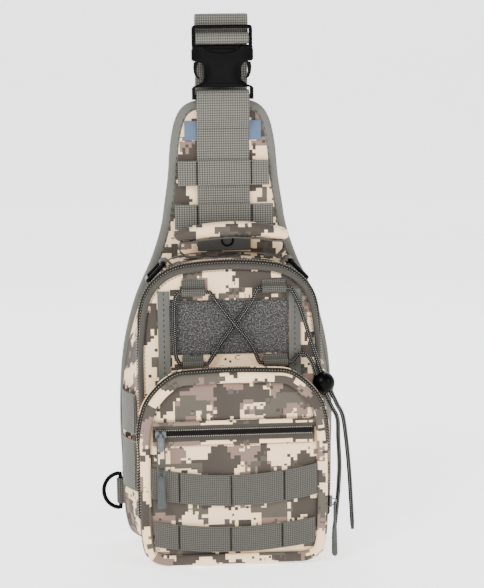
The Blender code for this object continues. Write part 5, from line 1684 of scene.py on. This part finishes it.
def folded_tab(name, node, path, bar):
    """Webbing that follows a path round a ring's bar; it is as wide as its node along the bar."""
    low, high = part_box(node)
    middle, width = (low + high).dot(bar) / 2, (high - low).dot(bar) - 0.0002
    line = smooth_path(path, 0.0008)
    loops = []
    for point, tangent in zip(line, tangents_of(line)):
        normal = bar.cross(tangent)
        loops.append([point + bar * (middle + a) + normal * b for a, b in cushioned(width, 0.0012, 6.0, 20)])
    loft(name, loops, MOLLE, "pack_body", "grey_webbing", (node,), smooth=60)


def build_tab(side, pivot):
    """Both ends of this tab are sewn to the gusset beside the handle."""
    node = f"ring_tab_{side}"
    low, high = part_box(node)
    sign, inner_x = (1, low.x) if side == "right" else (-1, high.x)
    path = [
        Vector((inner_x, 0, low.z + 0.0062)),
        Vector((pivot.x - sign * 0.0035, 0, pivot.z + FOLD_RADIUS - 0.0004)),
    ]
    for i in range(8):
        angle = math.radians(110 - 200 * i / 7)
        across, rise = FOLD_RADIUS * math.cos(angle), FOLD_RADIUS * math.sin(angle)
        path.append(Vector((pivot.x + sign * across, 0, pivot.z + rise)))
    path.append(Vector((pivot.x - sign * 0.0030, 0, pivot.z - FOLD_RADIUS + 0.0002)))
    folded_tab(f"ring_webbing_{side}", node, path, Y)


def build_hip_tab(pivot):
    """The lower tab's fold stands upright, and both its ends run into the gusset."""
    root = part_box("bottom_ring_tab")[1].x + 0.0016
    path = [Vector((root, pivot.y - 0.0028, 0))]
    for i in range(11):
        angle = math.radians(-75 - 210 * i / 10)
        across, deep = FOLD_RADIUS * math.cos(angle), FOLD_RADIUS * math.sin(angle)
        path.append(Vector((pivot.x + across, pivot.y + deep, 0)))
    path.append(Vector((root, pivot.y + 0.0028, 0)))
    folded_tab("hip_webbing", "bottom_ring_tab", path, Z)


def build_handle():
    """A crowned grip on a webbing that turns under at both ends and is sewn to the gusset's top."""
    low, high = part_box("handle_pad")
    middle = (low + high) / 2
    half = (high.x - low.x) / 2
    drop, thick, wide = 0.0075, 0.0064, 0.0122
    centre_z = high.z - thick
    loops = []
    for step in range(49):
        share = step / 24 - 1
        x = middle.x + (half - 0.0004) * share
        lean = math.atan(-2 * drop * share / half)
        z = centre_z - drop * share * share
        taper = (1 - abs(share) ** 10) * 0.35 + 0.65
        loop = []
        for turn in range(28):
            angle = 2 * math.pi * turn / 28
            c, s = math.cos(angle), math.sin(angle)
            fold = 1.0 + 0.035 * ripple(x, angle * 0.02, 70.0, 31.0)
            out = wide * taper * fold * math.copysign(abs(c) ** 0.8, c)
            rise = thick * taper * fold * math.copysign(abs(s) ** 0.9, s)
            loop.append(Vector((x - rise * math.sin(lean), middle.y + out, z + rise * math.cos(lean))))
        loops.append(loop)
    pad = loft("handle_grip", loops, CAMO_OBJECT, "carry_handle", "camo_cloth", ("handle_pad",), smooth=60)
    puff(pad, 0.0040, 0.0016)
    low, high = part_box("handle_webbing")
    foot = low.z + 0.0008
    under = high.z - 0.0008
    right = [
        (0.0300, foot + 0.0004, 0.0040), (0.0370, foot, 0.0042), (0.0430, foot + 0.0006, 0.0060),
        (0.0480, foot + 0.0050, 0.0090), (0.0492, foot + 0.0100, 0.0108), (0.0470, foot + 0.0142, 0.0115),
        (0.0390, under - 0.0042, 0.0115), (0.0250, under - 0.0018, 0.0115),
    ]
    spine = [(-x, z, w) for x, z, w in right] + [(0.0, under - 0.0002, 0.0115)] + right[::-1]
    loops = []
    for i, (x, z, w) in enumerate(spine):
        before, after = spine[max(i - 1, 0)], spine[min(i + 1, len(spine) - 1)]
        length = math.hypot(after[0] - before[0], after[1] - before[1])
        nx, nz = -(after[1] - before[1]) / length, (after[0] - before[0]) / length
        ring = []
        for a, b in cushioned(2 * w, 0.0014, 6.0, 20):
            ring.append(Vector((middle.x + x + nx * b, middle.y + a, z + nz * b)))
        loops.append(ring)
    loft("handle_strap", loops, MOLLE, "carry_handle", "grey_webbing", ("handle_webbing",), smooth=70)


build_side_webbing()
build_rings()
build_handle()


# ---------------------------------------------------------------- buckle
SLEEVE_RISE = 0.0024
SCOOP_DEPTH = 0.0064
SCOOP_HALF = 0.0185
RIM_HALF = 0.0215
CROWN = 0.0013
COVER_FOOT = BAR_Z + 0.0092


def build_buckle():
    """A crowned cover on the socket half and a rounded frame on the plug half, with the strap bar's ribs."""
    low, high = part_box("buckle_female")
    half, front = high.x, low.y
    top, catch = high.z, high.z - 0.0110
    waist = half - 0.0113
    profile = [
        (BAR_Z + 0.0090, half - 0.0006), (catch - 0.0232, half - 0.0016), (catch - 0.0212, waist + 0.0056),
        (catch - 0.0178, waist + 0.0004), (catch - 0.0110, waist - 0.0008), (catch - 0.0045, waist + 0.0002),
        (catch - 0.0008, waist + 0.0030), (catch + 0.0004, half - 0.0030), (catch + 0.0022, half - 0.0004),
        (top, half),
    ]

    def half_at(z):
        for (za, wa), (zb, wb) in zip(profile, profile[1:]):
            if z <= zb:
                return wa + (wb - wa) * max(0.0, (z - za) / (zb - za))
        return profile[-1][1]

    def sleeve(x):
        """Top edge of the sleeve: it stands over the seam and dips in its middle."""
        return top + SLEEVE_RISE - SCOOP_DEPTH * max(0.0, 1 - (x / SCOOP_HALF) ** 2) ** 0.75

    def cover(u, v):
        side = 2 * u - 1
        z = COVER_FOOT + (sleeve(side * half) - COVER_FOOT) * v
        x = side * (half_at(z) - 0.0004)
        crown = CROWN * (1 - side ** 4) * (0.65 + 0.35 * math.sin(math.pi * v))
        rim = 0.0007 * math.exp(-((1 - v) * 0.040 / 0.0011) ** 2)
        return (x, front - 0.0005 - crown - rim, z)

    def depth(u, v):
        return Y * (0.0006 + CROWN * (1 - (2 * u - 1) ** 4))

    plate("buckle_cover", cover, 48, 60, depth, PLASTIC, "pack_body", "black_plastic", bevel=0.0004)
    rim = []
    for k in range(41):
        side = k / 20 - 1
        rim.append(Vector((side * RIM_HALF, front - 0.0016, sleeve(side * RIM_HALF))))
    tube("buckle_rim", rim, 0.0007, PLASTIC, "pack_body", "black_plastic", sides=8, smooth=60)
    low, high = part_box("buckle_male")
    bottom = SEAM_Z + 0.0009
    half, middle = high.x, (low.y + high.y) / 2
    path = []
    for cx, cz, first in (
        (half - 0.0042, high.z - 0.0042, 0), (-half + 0.0042, high.z - 0.0042, 90),
        (-half + 0.0032, bottom + 0.0032, 180), (half - 0.0032, bottom + 0.0032, 270),
    ):
        for step in range(7):
            angle = math.radians(first + 15 * step)
            radius = 0.0028 if cz > bottom + 0.01 else 0.0018
            path.append(Vector((cx + radius * math.cos(angle), middle, cz + radius * math.sin(angle))))
    sweep("buckle_frame", dense(path, 0.002), cushioned(0.0034, 0.0074, 2.8, 16), PLASTIC, "buckle_half",
          "black_plastic", closed=True, smooth=60)
    bm = bmesh.new()
    for k in range(9):
        x = -0.020 + 0.005 * k
        grain(bm, Vector((x, front - 0.0022, BAR_Z + 0.0125)), X, Z, 0.0030, 0.0008, 0.0007)
    piece("buckle_ribs", bm, PLASTIC, "pack_body", "black_plastic")


build_buckle()

for _node in ("buckle_female", "buckle_male", "buckle_prong_left", "buckle_prong_right"):
    _made = frame["nodes"][_node]
    _made.data.materials.clear()
    _made.data.materials.append(PLASTIC)
